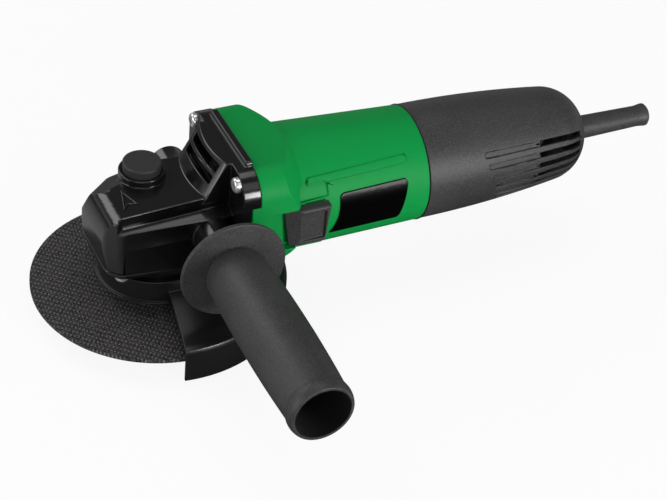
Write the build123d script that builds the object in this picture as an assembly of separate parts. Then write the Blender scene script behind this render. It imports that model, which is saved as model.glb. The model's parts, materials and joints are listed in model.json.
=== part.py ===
from build123d import *
import math
import os

# Angle grinder for a 125 mm cutting disc. Millimetres. The origin is the centre of the spindle's lower
# end, +Z runs up the spindle into the tool, +X runs back to the cord and the side handle is on -Y.
# Values named *_rise are heights above the motor axis, and *_drop are depths below it.

# Clearances
seat_gap = 0.05
running_gap = 0.15
body_gap = 0.3
# How far a cut runs past the face it opens, how deep joined shapes run into each other, edge matching
past = 1.0
merge = 0.5
close = 0.1

# Proportions shared by the pan head screws and the ball bearings
head_rounding_share = 0.6
recess_depth_share = 0.55
recess_length_share = 1.2
recess_width_share = 0.3
ball_share = 0.145
land_share = 0.55
ball_spacing = 1.35

# Disc, flanges and spindle
disc_diameter = 125.0
disc_thickness = 1.8
disc_bore = 22.2
bore_ring_width = 2.2
spindle_thread = 14.0
spindle_free_end = 4.0
pilot_length = 3.6
pilot_step = 0.5
clamp_nut_height = 7.3
clamp_nut_diameter = 40.0
clamp_nut_boss = 27.0
clamp_nut_rim = 3.2
clamp_nut_chamfer = 1.0
wrench_hole = 5.0
inner_flange_height = 5.0
inner_flange_diameter = 41.0
inner_flange_rim = 2.2
inner_flange_chamfer = 3.0
spigot_height = 1.2
axis_above_disc = 40.9
shoulder_diameter = 20.0
journal_diameter = 8.0
gear_seat_diameter = 11.0
spindle_end_gap = 0.8
gear_seat_collar = 1.2
gear_seat_taper = 1.3
spacer_wall = 2.4
circlip_thickness = 1.1
circlip_groove = 0.6
gear_circlip_width = 2.3
gear_circlip_opening = 5.0

# Bevel gear pair
gear_teeth = 35
pinion_teeth = 12
gear_module = 1.2
tooth_face = 6.2
gear_addendum = 0.8
pinion_addendum = 1.3
root_clearance = 0.35
tooth_backlash = 0.2
flank_steps = 5
pressure_angle = 20.0
gear_hub_face_drop = 8.0
gear_back_drop = 13.0
gear_rim = 1.8
gear_rim_step = 0.6
lock_holes = 4
lock_hole_gap = 0.35
pinion_bore = 6.0
pinion_nut_height = 4.0
pinion_nut_radius = 4.2

# Spindle bearing, retainer and top bush
spindle_bearing_bore = 12.0
spindle_bearing_outer = 32.0
spindle_bearing_width = 10.0
bearing_circlip_groove = 0.9
bearing_circlip_width = 3.4
bearing_circlip_opening = 7.0
bush_outer = 12.0
bush_top_rise = 14.5
neck_diameter = 52.0
neck_gap = 1.4
neck_floor = 6.5
retainer_plate = 2.5
retainer_front_screw = (-25.2, 20.6)
retainer_rear_screw = (20.5, 22.0)
retainer_screw_head = (3.5, 2.6)
retainer_screw_radius = 2.0
retainer_screw_depth = 8.0

# Gear housing
housing_floor_drop = 14.0
chamber_radius = 22.6
ceiling_rise = 9.0
deck_rise = 18.0
nose_front = 33.0
nose_half_width = 24.5
nose_cut = (6.5, 6.5)
nose_rounding = 6.0
waist_half_width = 31.0
crease_rise = 0.0
flank_front = 34.0
flank_half_width = 24.2
crease_far_cut = (9.0, 9.0)
deck_far_cut = (26.0, 22.0)
sweep_foot = (34.6, -2.0)
sweep_lean = 0.1
sweep_end = 23.5
far_ridge = (-17.5, 5.8)
far_ridge_turn = 25.0
far_ridge_fall = 30.0
groove_front = 29.0
groove_half_width = 20.9
groove_rise = 11.2
groove_fall = 18.0
groove_turn = 3.5
groove_rounding = 4.5
hood_half_width = 18.5
hood_foot = 17.5
hood_lean = 10.0
hood_rise = 36.0
hood_bulge = 3.0
hood_sill = (2.0, 3.5)
hood_brow = 3.0
hood_wall = 3.0
slot_height = 4.2
slot_half_width = 15.0
slot_shares = (0.47, 0.79)
flange_front = 30.0
flange_thickness = 9.0
flange_step = 4.5
flange_step_rise = 20.0
flange_half_width = 36.5
flange_top_rise = 36.0
flange_rounding = 13.5
flange_foot_rounding = 20.0
rib_rise = 38.6
rib_half_width = 23.5
rib_depth = 3.6
rib_rounding = 1.5
housing_screw_high = (28.0, 30.2)
housing_screw_low = (22.0, -20.8)
housing_screw_head = (3.9, 2.8)
housing_screw_radius = 2.0
housing_screw_length = 22.0

# Lock button
lock_x = -5.0
lock_y = 9.3
lock_cap_diameter = 19.2
lock_cap_rise = 26.2
lock_cap_height = 5.2
lock_cap_rounding = 0.9
lock_cap_roof = 2.0
lock_ring_wall = 1.8
lock_ring_rise = 21.8
lock_well_rise = 16.5
lock_pin_diameter = 4.6
lock_pin_gap = 1.2
lock_pin_chamfer = 0.6
lock_pin_groove = 0.5
lock_clip_reach = 1.4
lock_clip_grip = 0.4
lock_spring_room = 2.0
lock_spring_wire = 0.7
lock_spring_turns = 3
lock_spring_pocket = 3.2

# Side handle
handle_x = 19.1
handle_boss_diameter = 19.0
handle_boss_reach = 39.0
handle_boss_rounding = 1.2
handle_thread = 8.0
handle_thread_depth = 20.0
stud_engagement = 18.0
stud_chamfer = 0.8
stud_head_diameter = 14.0
stud_head_height = 5.0
stud_head_inset = 8.0
grip_hub_length = 10.5
grip_hub_diameter = 22.0
shield_diameter = 53.4
shield_thickness = 3.4
shield_slope = 1.2
shield_rounding = 0.9
grip_neck_diameter = 28.6
grip_neck_length = 1.6
grip_diameter = 30.6
grip_shoulder_rounding = 0.7
grip_belly_diameter = 33.0
grip_belly_share = 0.6
grip_bead_diameter = 32.0
grip_bead_length = 8.0
grip_lip_diameter = 30.0
grip_length = 118.5
grip_bore = 26.8
grip_bore_depth = 72.0

# Guard
guard_gap = 1.9
guard_sheet = 1.6
guard_collar_wall = 3.0
guard_collar_height = 13.2
guard_collar_drop = 20.5
guard_hub_drop = 26.6
guard_rim_drop = 32.8
guard_skirt_drop = 52.4
guard_rounding = 3.5
guard_bend = (0.3, 0.4)
guard_bead = (1.1, 1.2)
guard_span = 195.0
guard_lug_angle = 120.0
guard_lug_reach = 12.0
guard_lug_width = 4.0
guard_lug_height = 8.0
guard_lug_lift = 0.6
guard_lug_rounding = 3.0
guard_split = 4.0
guard_screw = 5.0
guard_screw_head = (4.0, 3.2)
guard_screw_tail = 5.5
guard_nut_radius = 4.4
guard_nut_height = 4.0
guard_clearance = 1.5

# Motor housing
block_top_rise = 35.4
shoulder_front = 47.0
shoulder_back = 66.0
shoulder_low_front = 50.0
underside_reach = 8.0
barrel_front = 58.0
barrel_front_radius = 32.2
barrel_front_lift = 1.8
barrel_rear_radius = 29.9
cover_seam = 134.7
fan_chamber_radius = 25.3
fan_chamber_step = 8.0
fan_chamber_wall = (2.0, 4.0)
baffle_seat = 60.0
stator_bore_radius = 27.0
brush_bore_radius = 24.5
spigot_room = 3.0
post_length = 11.0
post_radius = 2.9
bridge_lip = 1.0
bridge_length = 8.0
bridge_half_height = 11.0
duct_half_width = 15.5
duct_top_rise = 32.6
duct_floor_rise = 21.0
duct_lean_share = 0.72
duct_back = 12.0

# Switch
knob_front = 53.0
knob_length = 24.0
knob_high = 12.5
knob_low = 8.8
knob_front_lean = 3.0
knob_back_lean = 2.2
knob_face = 36.6
knob_rounding = 1.2
knob_ramp = 8.5
knob_ramp_face = 32.6
pad_front = 8.0
pad_back_rim = 2.6
pad_rim = 2.4
pad_depth = 1.3
pad_tilt = 4.0
neck_start = 9.0
neck_length = 6.0
neck_sink = 1.0
neck_room = 0.5
pocket_floor = 31.0
pocket_margin = 1.0
recess_depth = 0.9
recess_start = 8.0
recess_height = 7.5
recess_rounding = 3.0
knob_rail_reach = 34.2
knob_rail_height = 1.4
switch_travel = 6.0
rod_outer = 26.7
rod_thickness = 1.2
rod_width = 5.0
rod_jog_width = 3.0
rod_inner = 18.0
rod_arm = 2.0
rod_place = 5.0
switch_front = 172.0
switch_length = 24.0
switch_half_width = 8.0
switch_low = 10.0
switch_high = 8.0
switch_rounding = 1.0
lever_length = 5.0
lever_reach = 5.0
lever_half_height = 2.0
terminal_reach = 6.0
terminal_place = 4.0
terminal_half_width = 1.5
terminal_drop = (2.0, 1.0)

# Armature and stator
core_front = 72.0
core_length = 40.0
core_radius = 16.7
core_slots = 12
slot_width = 3.4
slot_depth = 6.5
slot_lip = 0.7
slot_mouth = 1.4
air_gap = 0.6
winding_reach = 9.0
winding_inset = 1.2
winding_chamfer = 3.0
winding_gap = 0.3
stator_yoke = 22.6
stator_flat = 25.3
coil_reach = 6.0
coil_half_angle = 85.0
coil_gap_angle = 0.4
coil_gap = 0.7
coil_inset = 1.0
pole_half_angle = 50.0
fan_front = 44.0
fan_length = 12.5
fan_radius = 24.5
fan_blades = 17
fan_hub_radius = 9.0
fan_plate = 1.6
fan_blade = 1.4
fan_blade_inset = 1.0
baffle_thickness = 2.0
commutator_room = 2.0
commutator_length = 16.0
commutator_radius = 11.0
commutator_bars = 24
commutator_flange = (1.5, 2.0)
commutator_slit = (0.5, 0.8)
shaft_radius = 5.0
shaft_tail = 0.5
shaft_tip = 0.6
front_bearing_front = 30.5
front_bearing_bore = 9.0
front_bearing_outer = 26.0
front_bearing_width = 8.0
rear_bearing_room = 3.0
rear_bearing_bore = 7.0
rear_bearing_outer = 19.0
rear_bearing_width = 6.0
bearing_boss_radius = 18.0
bearing_plate_lip = 3.0
bearing_plate_thickness = 1.5
plate_screw_head = (2.2, 1.5)
plate_screw_radius = 1.25
plate_screw_reach = 7.0
plate_screw_length = 7.5
stator_screw_head = (2.2, 1.8)
stator_screw_radius = 1.5
stator_screw_pitch = 24.6
stator_screw_tail = 8.0
brush_width = 6.0
brush_length = 6.5
brush_offset = 1.0
holder_gap = 2.0
holder_wall = 1.2
holder_inset = 1.7
brush_spring_wire = 0.5
brush_spring_turns = 2

# Rear cover and cord guard
cover_wall = 2.6
seam_groove = 0.45
cover_mid_x = 180.0
cover_mid_radius = 28.6
cover_hip_x = 217.5
cover_hip_radius = 25.0
cover_end = 234.5
cover_end_radius = 13.0
cover_screw_place = 8.0
cover_screw_radius = 1.9
cover_screw_head = (3.3, 1.3)
cover_screw_length = 7.0
cover_screw_sink = (3.6, 1.4)
cover_rib = (3.0, 9.0)
cover_rib_inset = 4.0
vent_front = 200.5
vent_back = 227.5
vent_height = 3.0
vent_rounding_share = 0.45
vent_inner = 10.0
vent_first = 29.0
vent_pitch = 13.3
vent_count = 6
vent_groove_front = 167.0
vent_groove_step = 2.4
vent_groove_depth = 0.7
cord_guard_drop = 1.2
cord_guard_end = 280.0
cord_guard_radius = 6.3
cord_guard_tip_radius = 5.6
cord_guard_bell_radius = 6.1
cord_bore = 8.4
guard_neck_radius = 7.4
guard_bead_inset = 4.6
guard_bead_size = (3.0, 1.6)
guard_neck_room = 12.0
guard_step = (0.4, 2.2)
bell_length = 4.0
bell_flare = 2.0
bell_swell = 0.2
bell_chamfer = 0.8
clamp_x = 207.0
clamp_pitch = 8.5
clamp_rise = 3.2
clamp_half_width = 3.5
clamp_overhang = 4.0
clamp_thickness = 3.0
clamp_rounding = 2.0
clamp_screw_radius = 1.4
clamp_screw_head = (2.6, 1.8)
clamp_screw_length = 11.0
clamp_screw_bite = 9.0
clamp_post_radius = 3.4

# Name plate
plate_front = 82.0
plate_length = 38.5
plate_high = 13.0
plate_low = 10.0
plate_thickness = 0.7
plate_lean = 2.0
plate_rounding = 2.6
plate_sweep = 1.6
strip_front = 67.0
strip_back = 123.0
strip_rise = 21.0
strip_height = 3.2
strip_proud = 0.45
strip_rounding_share = 0.45

# Levels and sizes worked out from these
disc_low = spindle_free_end + clamp_nut_height
disc_high = disc_low + disc_thickness
inner_flange_top = disc_high + inner_flange_height
axis_z = disc_high + axis_above_disc
neck_low = inner_flange_top + neck_gap
bearing_low = neck_low + neck_floor
bearing_high = bearing_low + spindle_bearing_width
floor_z = axis_z - housing_floor_drop
plate_low_z = floor_z - retainer_plate
gear_back_z = axis_z - gear_back_drop
gear_face_z = axis_z - gear_hub_face_drop
ceiling_z = axis_z + ceiling_rise
deck_z = axis_z + deck_rise
crease_z = axis_z + crease_rise
bush_top = axis_z + bush_top_rise
spindle_top = bush_top - spindle_end_gap
seam_x = flange_front + flange_thickness
step_x = seam_x - flange_step
boss_face_y = -handle_boss_reach
core_back = core_front + core_length
stator_stop = core_back + 2 * seat_gap
commutator_front = core_back + winding_reach + commutator_room
commutator_back = commutator_front + commutator_length
rear_bearing_front = commutator_back + rear_bearing_room
bridge_front = rear_bearing_front - bridge_lip
spigot_end = bridge_front + bridge_length + spigot_room
spigot_radius = barrel_rear_radius - cover_wall - running_gap
MOTOR_AXIS = Axis((0, 0, axis_z), (1, 0, 0))
ON_BASE = (Align.CENTER, Align.CENTER, Align.MIN)
FROM_CORNER = (Align.MIN, Align.MIN, Align.MIN)
FAR = 400.0


# Simple solids in the tool's frame
def upright(radius, low, high, x=0.0, y=0.0):
    return Pos(x, y, low) * Cylinder(radius, high - low, align=ON_BASE)


def along_x(radius, front, back, y=0.0, z=axis_z):
    return Pos(front, y, z) * Rot(0, 90, 0) * Cylinder(radius, back - front, align=ON_BASE)


def along_y(radius, start, stop, x, z):
    return Pos(x, start, z) * Rot(-90, 0, 0) * Cylinder(radius, stop - start, align=ON_BASE)


def block(x_span, y_span, z_span):
    size = [span[1] - span[0] for span in (x_span, y_span, z_span)]
    return Pos(x_span[0], y_span[0], z_span[0]) * Box(*size, align=FROM_CORNER)


def ring_z(outer, inner, low, high):
    return upright(outer, low, high) - upright(inner, low - past, high + past)


def ring_x(outer, inner, front, back):
    return along_x(outer, front, back) - along_x(inner, front - past, back + past)


def side_profile(points, half_width):
    """Prism across the tool from points given as (x, height above the motor axis)."""
    outline = Polyline(*[(x, half_width, axis_z + rise) for x, rise in points], close=True)
    return extrude(make_face(outline.edges()), 2 * half_width, dir=(0, -1, 0))


def turned_x(points):
    """Solid turned about the motor axis from points given as (x, radius)."""
    outline = Polyline(*[(x, 0, axis_z + radius) for x, radius in points], close=True)
    return revolve(make_face(outline.edges()), MOTOR_AXIS)


def turned_z(points):
    """Solid turned about the spindle axis from points given as (radius, z)."""
    outline = Polyline(*[(radius, 0, z) for radius, z in points], close=True)
    return revolve(make_face(outline.edges()), Axis.Z)


def group(solids):
    return Compound(children=list(solids))


def pan_screw(head_size, shank_radius, shank_length):
    """Pan head screw: head seat at z = 0, head upwards, shank downwards, cross recess on top."""
    head_radius, head_height = head_size
    head = Cylinder(head_radius, head_height, align=ON_BASE)
    head = fillet(head.edges().group_by(Axis.Z)[-1], head_height * head_rounding_share)
    depth = head_height * recess_depth_share
    length = head_radius * recess_length_share
    width = head_radius * recess_width_share
    recess = Box(length, width, depth, align=ON_BASE) + Box(width, length, depth, align=ON_BASE)
    shank = Pos(0, 0, -shank_length) * Cylinder(shank_radius, shank_length, align=ON_BASE)
    return head + shank - Pos(0, 0, head_height - depth) * recess


def coil_spring(radius, wire, height, turns):
    """Compression spring standing on z = 0, every quarter turn a pair of tangent arcs."""
    climb = height - wire
    quarters = int(turns * 4)
    slope = climb / (2 * math.pi * turns)

    def on_helix(step):
        angle = step * math.pi / 2
        point = Vector(radius * math.cos(angle), radius * math.sin(angle), wire / 2 + slope * angle)
        heading = Vector(-radius * math.sin(angle), radius * math.cos(angle), slope).normalized()
        return point, heading

    arcs = []
    for step in range(quarters):
        start, leave = on_helix(step)
        stop, arrive = on_helix(step + 1)
        chord = stop - start
        pull = chord.dot(leave + arrive)
        spread = 2 * (1 - leave.dot(arrive))
        reach = (-pull + math.sqrt(pull * pull + spread * chord.dot(chord))) / spread
        middle = (start + leave * reach + stop - arrive * reach) * 0.5
        arcs.append(TangentArc(start, middle, tangent=leave))
        arcs.append(TangentArc(middle, stop, tangent=arcs[-1] % 1))
    first_point, first_heading = on_helix(0)
    section = Plane(first_point, z_dir=first_heading) * Circle(wire / 2)
    return sweep(section, path=Wire(arcs))


# Ball bearings, made standing on z = 0 about Z
def bearing_rings(bore, outer, width):
    """Outer ring, inner ring and balls of one deep-groove bearing."""
    pitch = (bore + outer) / 4
    ball = (outer - bore) * ball_share
    groove = Pos(0, 0, width / 2) * Torus(pitch, ball + seat_gap)
    land = ball * land_share
    body = Cylinder(outer / 2, width, align=ON_BASE) - Cylinder(pitch + land, width, align=ON_BASE)
    core = Cylinder(pitch - land, width, align=ON_BASE) - Cylinder(bore / 2, width, align=ON_BASE)
    count = int(math.pi * pitch / (ball * ball_spacing))
    balls = [Rot(0, 0, 360 * i / count) * Pos(pitch, 0, width / 2) * Sphere(ball) for i in range(count)]
    return body - groove, core - groove, group(balls)


def bearing_on_spindle():
    place = Pos(0, 0, bearing_low)
    rings = bearing_rings(spindle_bearing_bore, spindle_bearing_outer, spindle_bearing_width)
    return [place * piece for piece in rings]


def bearing_on_shaft(front, bore, outer, width):
    place = Pos(front, 0, axis_z) * Rot(0, 90, 0)
    return [place * piece for piece in bearing_rings(bore, outer, width)]


# Bevel gears, made with the cone apex at the origin and the axis along +Z
gear_cone = math.atan2(gear_teeth, pinion_teeth)
cone_distance = gear_module * math.hypot(gear_teeth, pinion_teeth) / 2
inner_share = (cone_distance - tooth_face) / cone_distance


def cone_point(cone, height, across=0.0, share=1.0):
    """Point at a height above the pitch cone, at the large end or a share of the way to it."""
    out = cone_distance * math.sin(cone) + height * math.cos(cone)
    along = cone_distance * math.cos(cone) - height * math.sin(cone)
    return (out * share, across * share, along * share)


def involute(angle):
    return math.tan(angle) - angle


def bevel_tooth(cone, teeth, addendum, dedendum):
    """One tooth with involute flanks, tapering to the cone's apex."""
    pitch_radius = gear_module * teeth / (2 * math.cos(cone))
    pressure = math.radians(pressure_angle)
    base_radius = pitch_radius * math.cos(pressure)
    pitch_half = math.pi * math.cos(cone) / (2 * teeth) + involute(pressure)
    flank = []
    for step in range(flank_steps + 1):
        height = (addendum + dedendum) * step / flank_steps - dedendum
        radius = pitch_radius + height
        roll = math.acos(min(1.0, base_radius / radius))
        flank.append((height, radius * (pitch_half - involute(roll)) - tooth_backlash / 4))
    flank[0] = (-dedendum - root_clearance, flank[0][1])
    outline = flank + [(height, -across) for height, across in reversed(flank)]
    ends = []
    for share in (1.0, inner_share):
        wire = Polyline(*[cone_point(cone, h, t, share) for h, t in outline], close=True)
        ends.append(make_face(wire.edges()))
    return loft(ends, ruled=True)


def bevel_teeth(tooth, teeth, first_angle):
    return [Rot(0, 0, first_angle + 360 * i / teeth) * tooth for i in range(teeth)]


def root_corner(cone, dedendum, share):
    corner = cone_point(cone, -dedendum, 0.0, share)
    return corner[0], corner[2]


lock_radius = math.hypot(lock_x, lock_y)
lock_angle = math.degrees(math.atan2(lock_y, lock_x))
lock_hole_radius = lock_pin_diameter / 2 + lock_hole_gap


def bevel_gear():
    """Crown gear on the spindle, teeth up, with four lock holes through its web."""
    dedendum = pinion_addendum + root_clearance
    inner = root_corner(gear_cone, dedendum, inner_share)
    outer = root_corner(gear_cone, dedendum, 1.0)
    bore = gear_seat_diameter / 2 + seat_gap
    web = inner[0] - gear_rim_step
    outline = [(bore, gear_hub_face_drop), (web, gear_hub_face_drop), inner, outer]
    outline += [(outer[0], outer[1] + gear_rim), (web, gear_back_drop), (bore, gear_back_drop)]
    tooth = bevel_tooth(gear_cone, gear_teeth, gear_addendum, dedendum)
    wheel = turned_z(outline) + bevel_teeth(tooth, gear_teeth, 180 / gear_teeth)
    for turn in range(lock_holes):
        hole = Cylinder(lock_hole_radius, 3 * gear_back_drop)
        wheel -= Rot(0, 0, -lock_angle + 360 * turn / lock_holes) * Pos(lock_radius, 0, 0) * hole
    return Pos(0, 0, axis_z) * Rot(180, 0, 0) * wheel


pinion_cone = math.pi / 2 - gear_cone
pinion_dedendum = gear_addendum + root_clearance
pinion_front = root_corner(pinion_cone, pinion_dedendum, inner_share)[1]


def pinion():
    """Bevel pinion with a plain sleeve that reaches back to the front bearing."""
    inner = root_corner(pinion_cone, pinion_dedendum, inner_share)
    outer = root_corner(pinion_cone, pinion_dedendum, 1.0)
    bore = pinion_bore / 2 + seat_gap
    back = front_bearing_front - seat_gap
    wheel = turned_z([(bore, pinion_front), inner, outer, (outer[0], back), (bore, back)])
    tooth = bevel_tooth(pinion_cone, pinion_teeth, pinion_addendum, pinion_dedendum)
    wheel += bevel_teeth(tooth, pinion_teeth, 0)
    return Pos(0, 0, axis_z) * Rot(0, 90, 0) * wheel


def pinion_nut():
    nut = extrude(RegularPolygon(pinion_nut_radius, 6), pinion_nut_height)
    nut -= Cylinder(pinion_bore / 2 + seat_gap, 3 * pinion_nut_height)
    return Pos(pinion_front - seat_gap - pinion_nut_height, 0, axis_z) * Rot(0, 90, 0) * nut


# Spindle and what it carries
def spindle():
    thread = spindle_thread / 2
    shoulder = shoulder_diameter / 2
    seat = spindle_bearing_bore / 2 - seat_gap
    gear_seat = gear_seat_diameter / 2
    journal = journal_diameter / 2
    groove = gear_seat - circlip_groove - seat_gap
    clip_low = gear_face_z + seat_gap
    clip_high = clip_low + circlip_thickness + seat_gap
    pilot = thread - pilot_step
    outline = [(0, 0), (pilot, 0), (pilot, pilot_length), (thread, pilot_length + pilot_step)]
    outline += [(thread, inner_flange_top), (shoulder, inner_flange_top)]
    outline += [(shoulder, bearing_low), (seat, bearing_low), (seat, gear_back_z - seat_gap)]
    outline += [(gear_seat, gear_back_z - seat_gap), (gear_seat, clip_low), (groove, clip_low)]
    outline += [(groove, clip_high), (gear_seat, clip_high), (gear_seat, clip_high + gear_seat_collar)]
    outline += [(journal, clip_high + gear_seat_collar + gear_seat_taper), (journal, spindle_top)]
    outline += [(0, spindle_top)]
    return turned_z(outline)


def spindle_spacer():
    inner = spindle_bearing_bore / 2
    return ring_z(inner + spacer_wall, inner, bearing_high + seat_gap, gear_back_z - seat_gap)


def split_ring(outer, inner, low, high, opening):
    gap = block((0, FAR), (-opening / 2, opening / 2), (low - past, high + past))
    return ring_z(outer, inner, low, high) - gap


def gear_circlip():
    inner = gear_seat_diameter / 2 - circlip_groove
    low = gear_face_z + 1.5 * seat_gap
    high = low + circlip_thickness - seat_gap
    clip = split_ring(inner + gear_circlip_width, inner, low, high, gear_circlip_opening)
    return Rot(0, 0, 90) * clip


def bearing_circlip():
    outer = spindle_bearing_outer / 2 + bearing_circlip_groove
    low = bearing_high + seat_gap
    return split_ring(outer - seat_gap, outer - bearing_circlip_width, low, low + circlip_thickness,
                      bearing_circlip_opening)


def spindle_bush():
    return ring_z(bush_outer / 2 - seat_gap, journal_diameter / 2 + seat_gap, ceiling_z, bush_top)


def inner_flange():
    outer = inner_flange_diameter / 2
    bore = spindle_thread / 2 + seat_gap
    spigot = disc_bore / 2 - seat_gap
    outline = [(bore, disc_high - spigot_height), (spigot, disc_high - spigot_height), (spigot, disc_high)]
    outline += [(outer, disc_high), (outer, disc_high + inner_flange_rim)]
    outline += [(outer - inner_flange_chamfer, inner_flange_top), (bore, inner_flange_top)]
    return turned_z(outline)


def cutting_disc():
    return ring_z(disc_diameter / 2, disc_bore / 2 + bore_ring_width, disc_low, disc_high)


def disc_bore_ring():
    return ring_z(disc_bore / 2 + bore_ring_width - seat_gap, disc_bore / 2, disc_low, disc_high)


def clamp_nut():
    outer = clamp_nut_diameter / 2
    bore = spindle_thread / 2 + seat_gap
    boss = clamp_nut_boss / 2
    rim_low = disc_low - clamp_nut_rim
    cut = clamp_nut_chamfer
    outline = [(bore, spindle_free_end), (boss - cut, spindle_free_end), (boss, spindle_free_end + cut)]
    outline += [(boss, rim_low), (outer - cut, rim_low), (outer, rim_low + cut), (outer, disc_low)]
    outline += [(bore, disc_low)]
    nut = turned_z(outline)
    pitch = (boss + bore) / 2
    for side in (-1, 1):
        nut -= upright(wrench_hole / 4, spindle_free_end - past, rim_low, side * pitch)
    return nut


# Bearing retainer
def nose_outline(front, half_widths, cuts, back_half_width, back):
    """Plan outline of the gear housing: cut front corners, near then far, and straight flanks."""
    near, far = half_widths
    near_cut, far_cut = cuts
    corners = [(back, -back_half_width), (near_cut[0] - front, -near), (-front, near_cut[1] - near)]
    corners += [(-front, far - far_cut[1]), (far_cut[0] - front, far), (back, back_half_width)]
    sketch = make_face(Polyline(*corners, close=True).edges())
    return fillet([v for v in sketch.vertices() if v.X < 0], nose_rounding)


def nose_base(back):
    halves = (nose_half_width, nose_half_width)
    return nose_outline(nose_front, halves, (nose_cut, nose_cut), waist_half_width, back)


def retainer_screw_spots():
    return [(x, side * y) for x, y in (retainer_front_screw, retainer_rear_screw) for side in (-1, 1)]


def bearing_retainer():
    plate = Pos(0, 0, plate_low_z) * extrude(nose_base(flange_front - body_gap), retainer_plate - seat_gap)
    body = plate + upright(neck_diameter / 2, neck_low, plate_low_z + merge)
    pocket = spindle_bearing_outer / 2 + seat_gap
    body -= upright(pocket, bearing_low - seat_gap, floor_z + past)
    body -= upright(pocket + bearing_circlip_groove, bearing_high + seat_gap / 2,
                    bearing_high + circlip_thickness + 2 * seat_gap)
    body -= upright(shoulder_diameter / 2 + body_gap, neck_low - past, floor_z)
    for x, y in retainer_screw_spots():
        body -= upright(retainer_screw_radius + running_gap, plate_low_z - past, floor_z + past, x, y)
    return body


def retainer_screws():
    screw = pan_screw(retainer_screw_head, retainer_screw_radius - seat_gap,
                      retainer_plate + retainer_screw_depth - past)
    flipped = Pos(0, 0, plate_low_z - seat_gap) * Rot(180, 0, 0) * screw
    return group([Pos(x, y, 0) * flipped for x, y in retainer_screw_spots()])


# Gear housing
flange_low_drop = guard_hub_drop - guard_clearance
guard_slope = (guard_rim_drop - guard_hub_drop) / (disc_diameter / 2 - neck_diameter / 2)


def flange_section(top_rise):
    """Section across the tool: rounded top corners up to the given rise, rounder bottom corners."""
    half = flange_half_width
    corners = [(-half, -flange_low_drop), (half, -flange_low_drop), (half, top_rise), (-half, top_rise)]
    sketch = make_face(Polyline(*corners, close=True).edges())
    sketch = fillet([v for v in sketch.vertices() if v.Y > 0], flange_rounding)
    sketch = fillet(sketch.vertices().group_by(Axis.Y)[0], flange_foot_rounding)
    return Plane((0, 0, axis_z), x_dir=(0, 1, 0), z_dir=(1, 0, 0)) * sketch


def flange_prism(top_rise, front, back):
    return Pos(front, 0, 0) * extrude(flange_section(top_rise), back - front)


hood_slope = math.degrees(math.atan2(hood_lean, hood_rise - deck_rise))
hood_slope_length = math.hypot(hood_lean, hood_rise - deck_rise)


def on_hood(distance):
    """Frame on the middle of the hood's front face, a distance up from its foot, X into the face."""
    return Pos(hood_foot - hood_bulge, 0, deck_z) * Rot(0, hood_slope, 0) * Pos(0, 0, distance)


def hood():
    top = hood_foot + hood_lean - hood_bulge
    foot = hood_foot - hood_bulge
    sill = deck_rise - hood_sill[1]
    back = flange_front + past
    shape = [(foot - hood_sill[0], sill), (foot, deck_rise), (top, hood_rise)]
    shape += [(top + hood_brow, flange_top_rise), (seam_x, flange_top_rise), (seam_x, flange_step_rise)]
    shape += [(back, flange_step_rise), (back, sill)]
    prism = side_profile(shape, hood_half_width)
    sweep_radius = (hood_half_width ** 2 + hood_bulge ** 2) / (2 * hood_bulge)
    bulge = on_hood(0) * Pos(sweep_radius, 0, 0) * Cylinder(sweep_radius, FAR)
    return prism & bulge


def hood_slots():
    cut = None
    for share in slot_shares:
        slot = Box(3 * hood_wall + 2 * hood_bulge, 2 * slot_half_width, slot_height)
        slot = on_hood(share * hood_slope_length) * slot
        cut = slot if cut is None else cut + slot
    return cut


def duct():
    """Exhaust passage from the fan chamber into the hood."""
    foot = hood_foot + hood_wall
    shape = [(foot, duct_floor_rise), (foot + hood_lean * duct_lean_share, duct_top_rise)]
    back = baffle_seat - duct_back
    shape += [(back, duct_top_rise), (back, duct_floor_rise)]
    return side_profile(shape, duct_half_width)


def handle_bosses():
    boss = along_y(handle_boss_diameter / 2, boss_face_y, handle_boss_reach, handle_x, axis_z)
    ends = [e for e in boss.edges() if e.geom_type == GeomType.CIRCLE]
    return fillet(ends, handle_boss_rounding)


def housing_screw_spots():
    return [(side * y, rise) for side in (-1, 1) for y, rise in (housing_screw_high, housing_screw_low)]


def nose_sweep():
    """Side view that trims the housing: one curve from the front of the nose up onto the flat deck."""
    start = (-sweep_foot[0], sweep_foot[1])
    end = (-sweep_end, deck_rise)
    curve = Spline(start, end, tangents=[(sweep_lean, 1), (1, 0)])
    rest = Polyline(end, (FAR, deck_rise), (FAR, -FAR), (start[0], -FAR), start)
    side = Plane((0, 0, axis_z), x_dir=(1, 0, 0), z_dir=(0, -1, 0))
    return extrude(side * make_face(curve.edges() + rest.edges()), FAR, both=True)


def far_fall():
    """Space above the slope that falls away from the deck's far front edge."""
    frame = Pos(*far_ridge, deck_z) * Rot(0, 0, far_ridge_turn) * Rot(-far_ridge_fall, 0, 0)
    return frame * block((-FAR, FAR), (0, FAR), (0, FAR))


def near_groove():
    """Space above the sloping ledge along the near flank, rounded where it starts behind the nose."""
    drop = FAR * math.tan(math.radians(groove_fall))
    outline = Polyline((0, 0, 0), (0, 0, FAR), (0, -FAR, FAR), (0, -FAR, -drop), close=True)
    groove = extrude(make_face(outline.edges()), FAR, dir=(1, 0, 0))
    start = [e for e in groove.edges().filter_by(Axis.Z) if e.center().X < close and e.center().Y > -close]
    groove = fillet(start, groove_rounding)
    return Pos(-groove_front, -groove_half_width, axis_z + groove_rise) * Rot(0, 0, groove_turn) * groove


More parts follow.
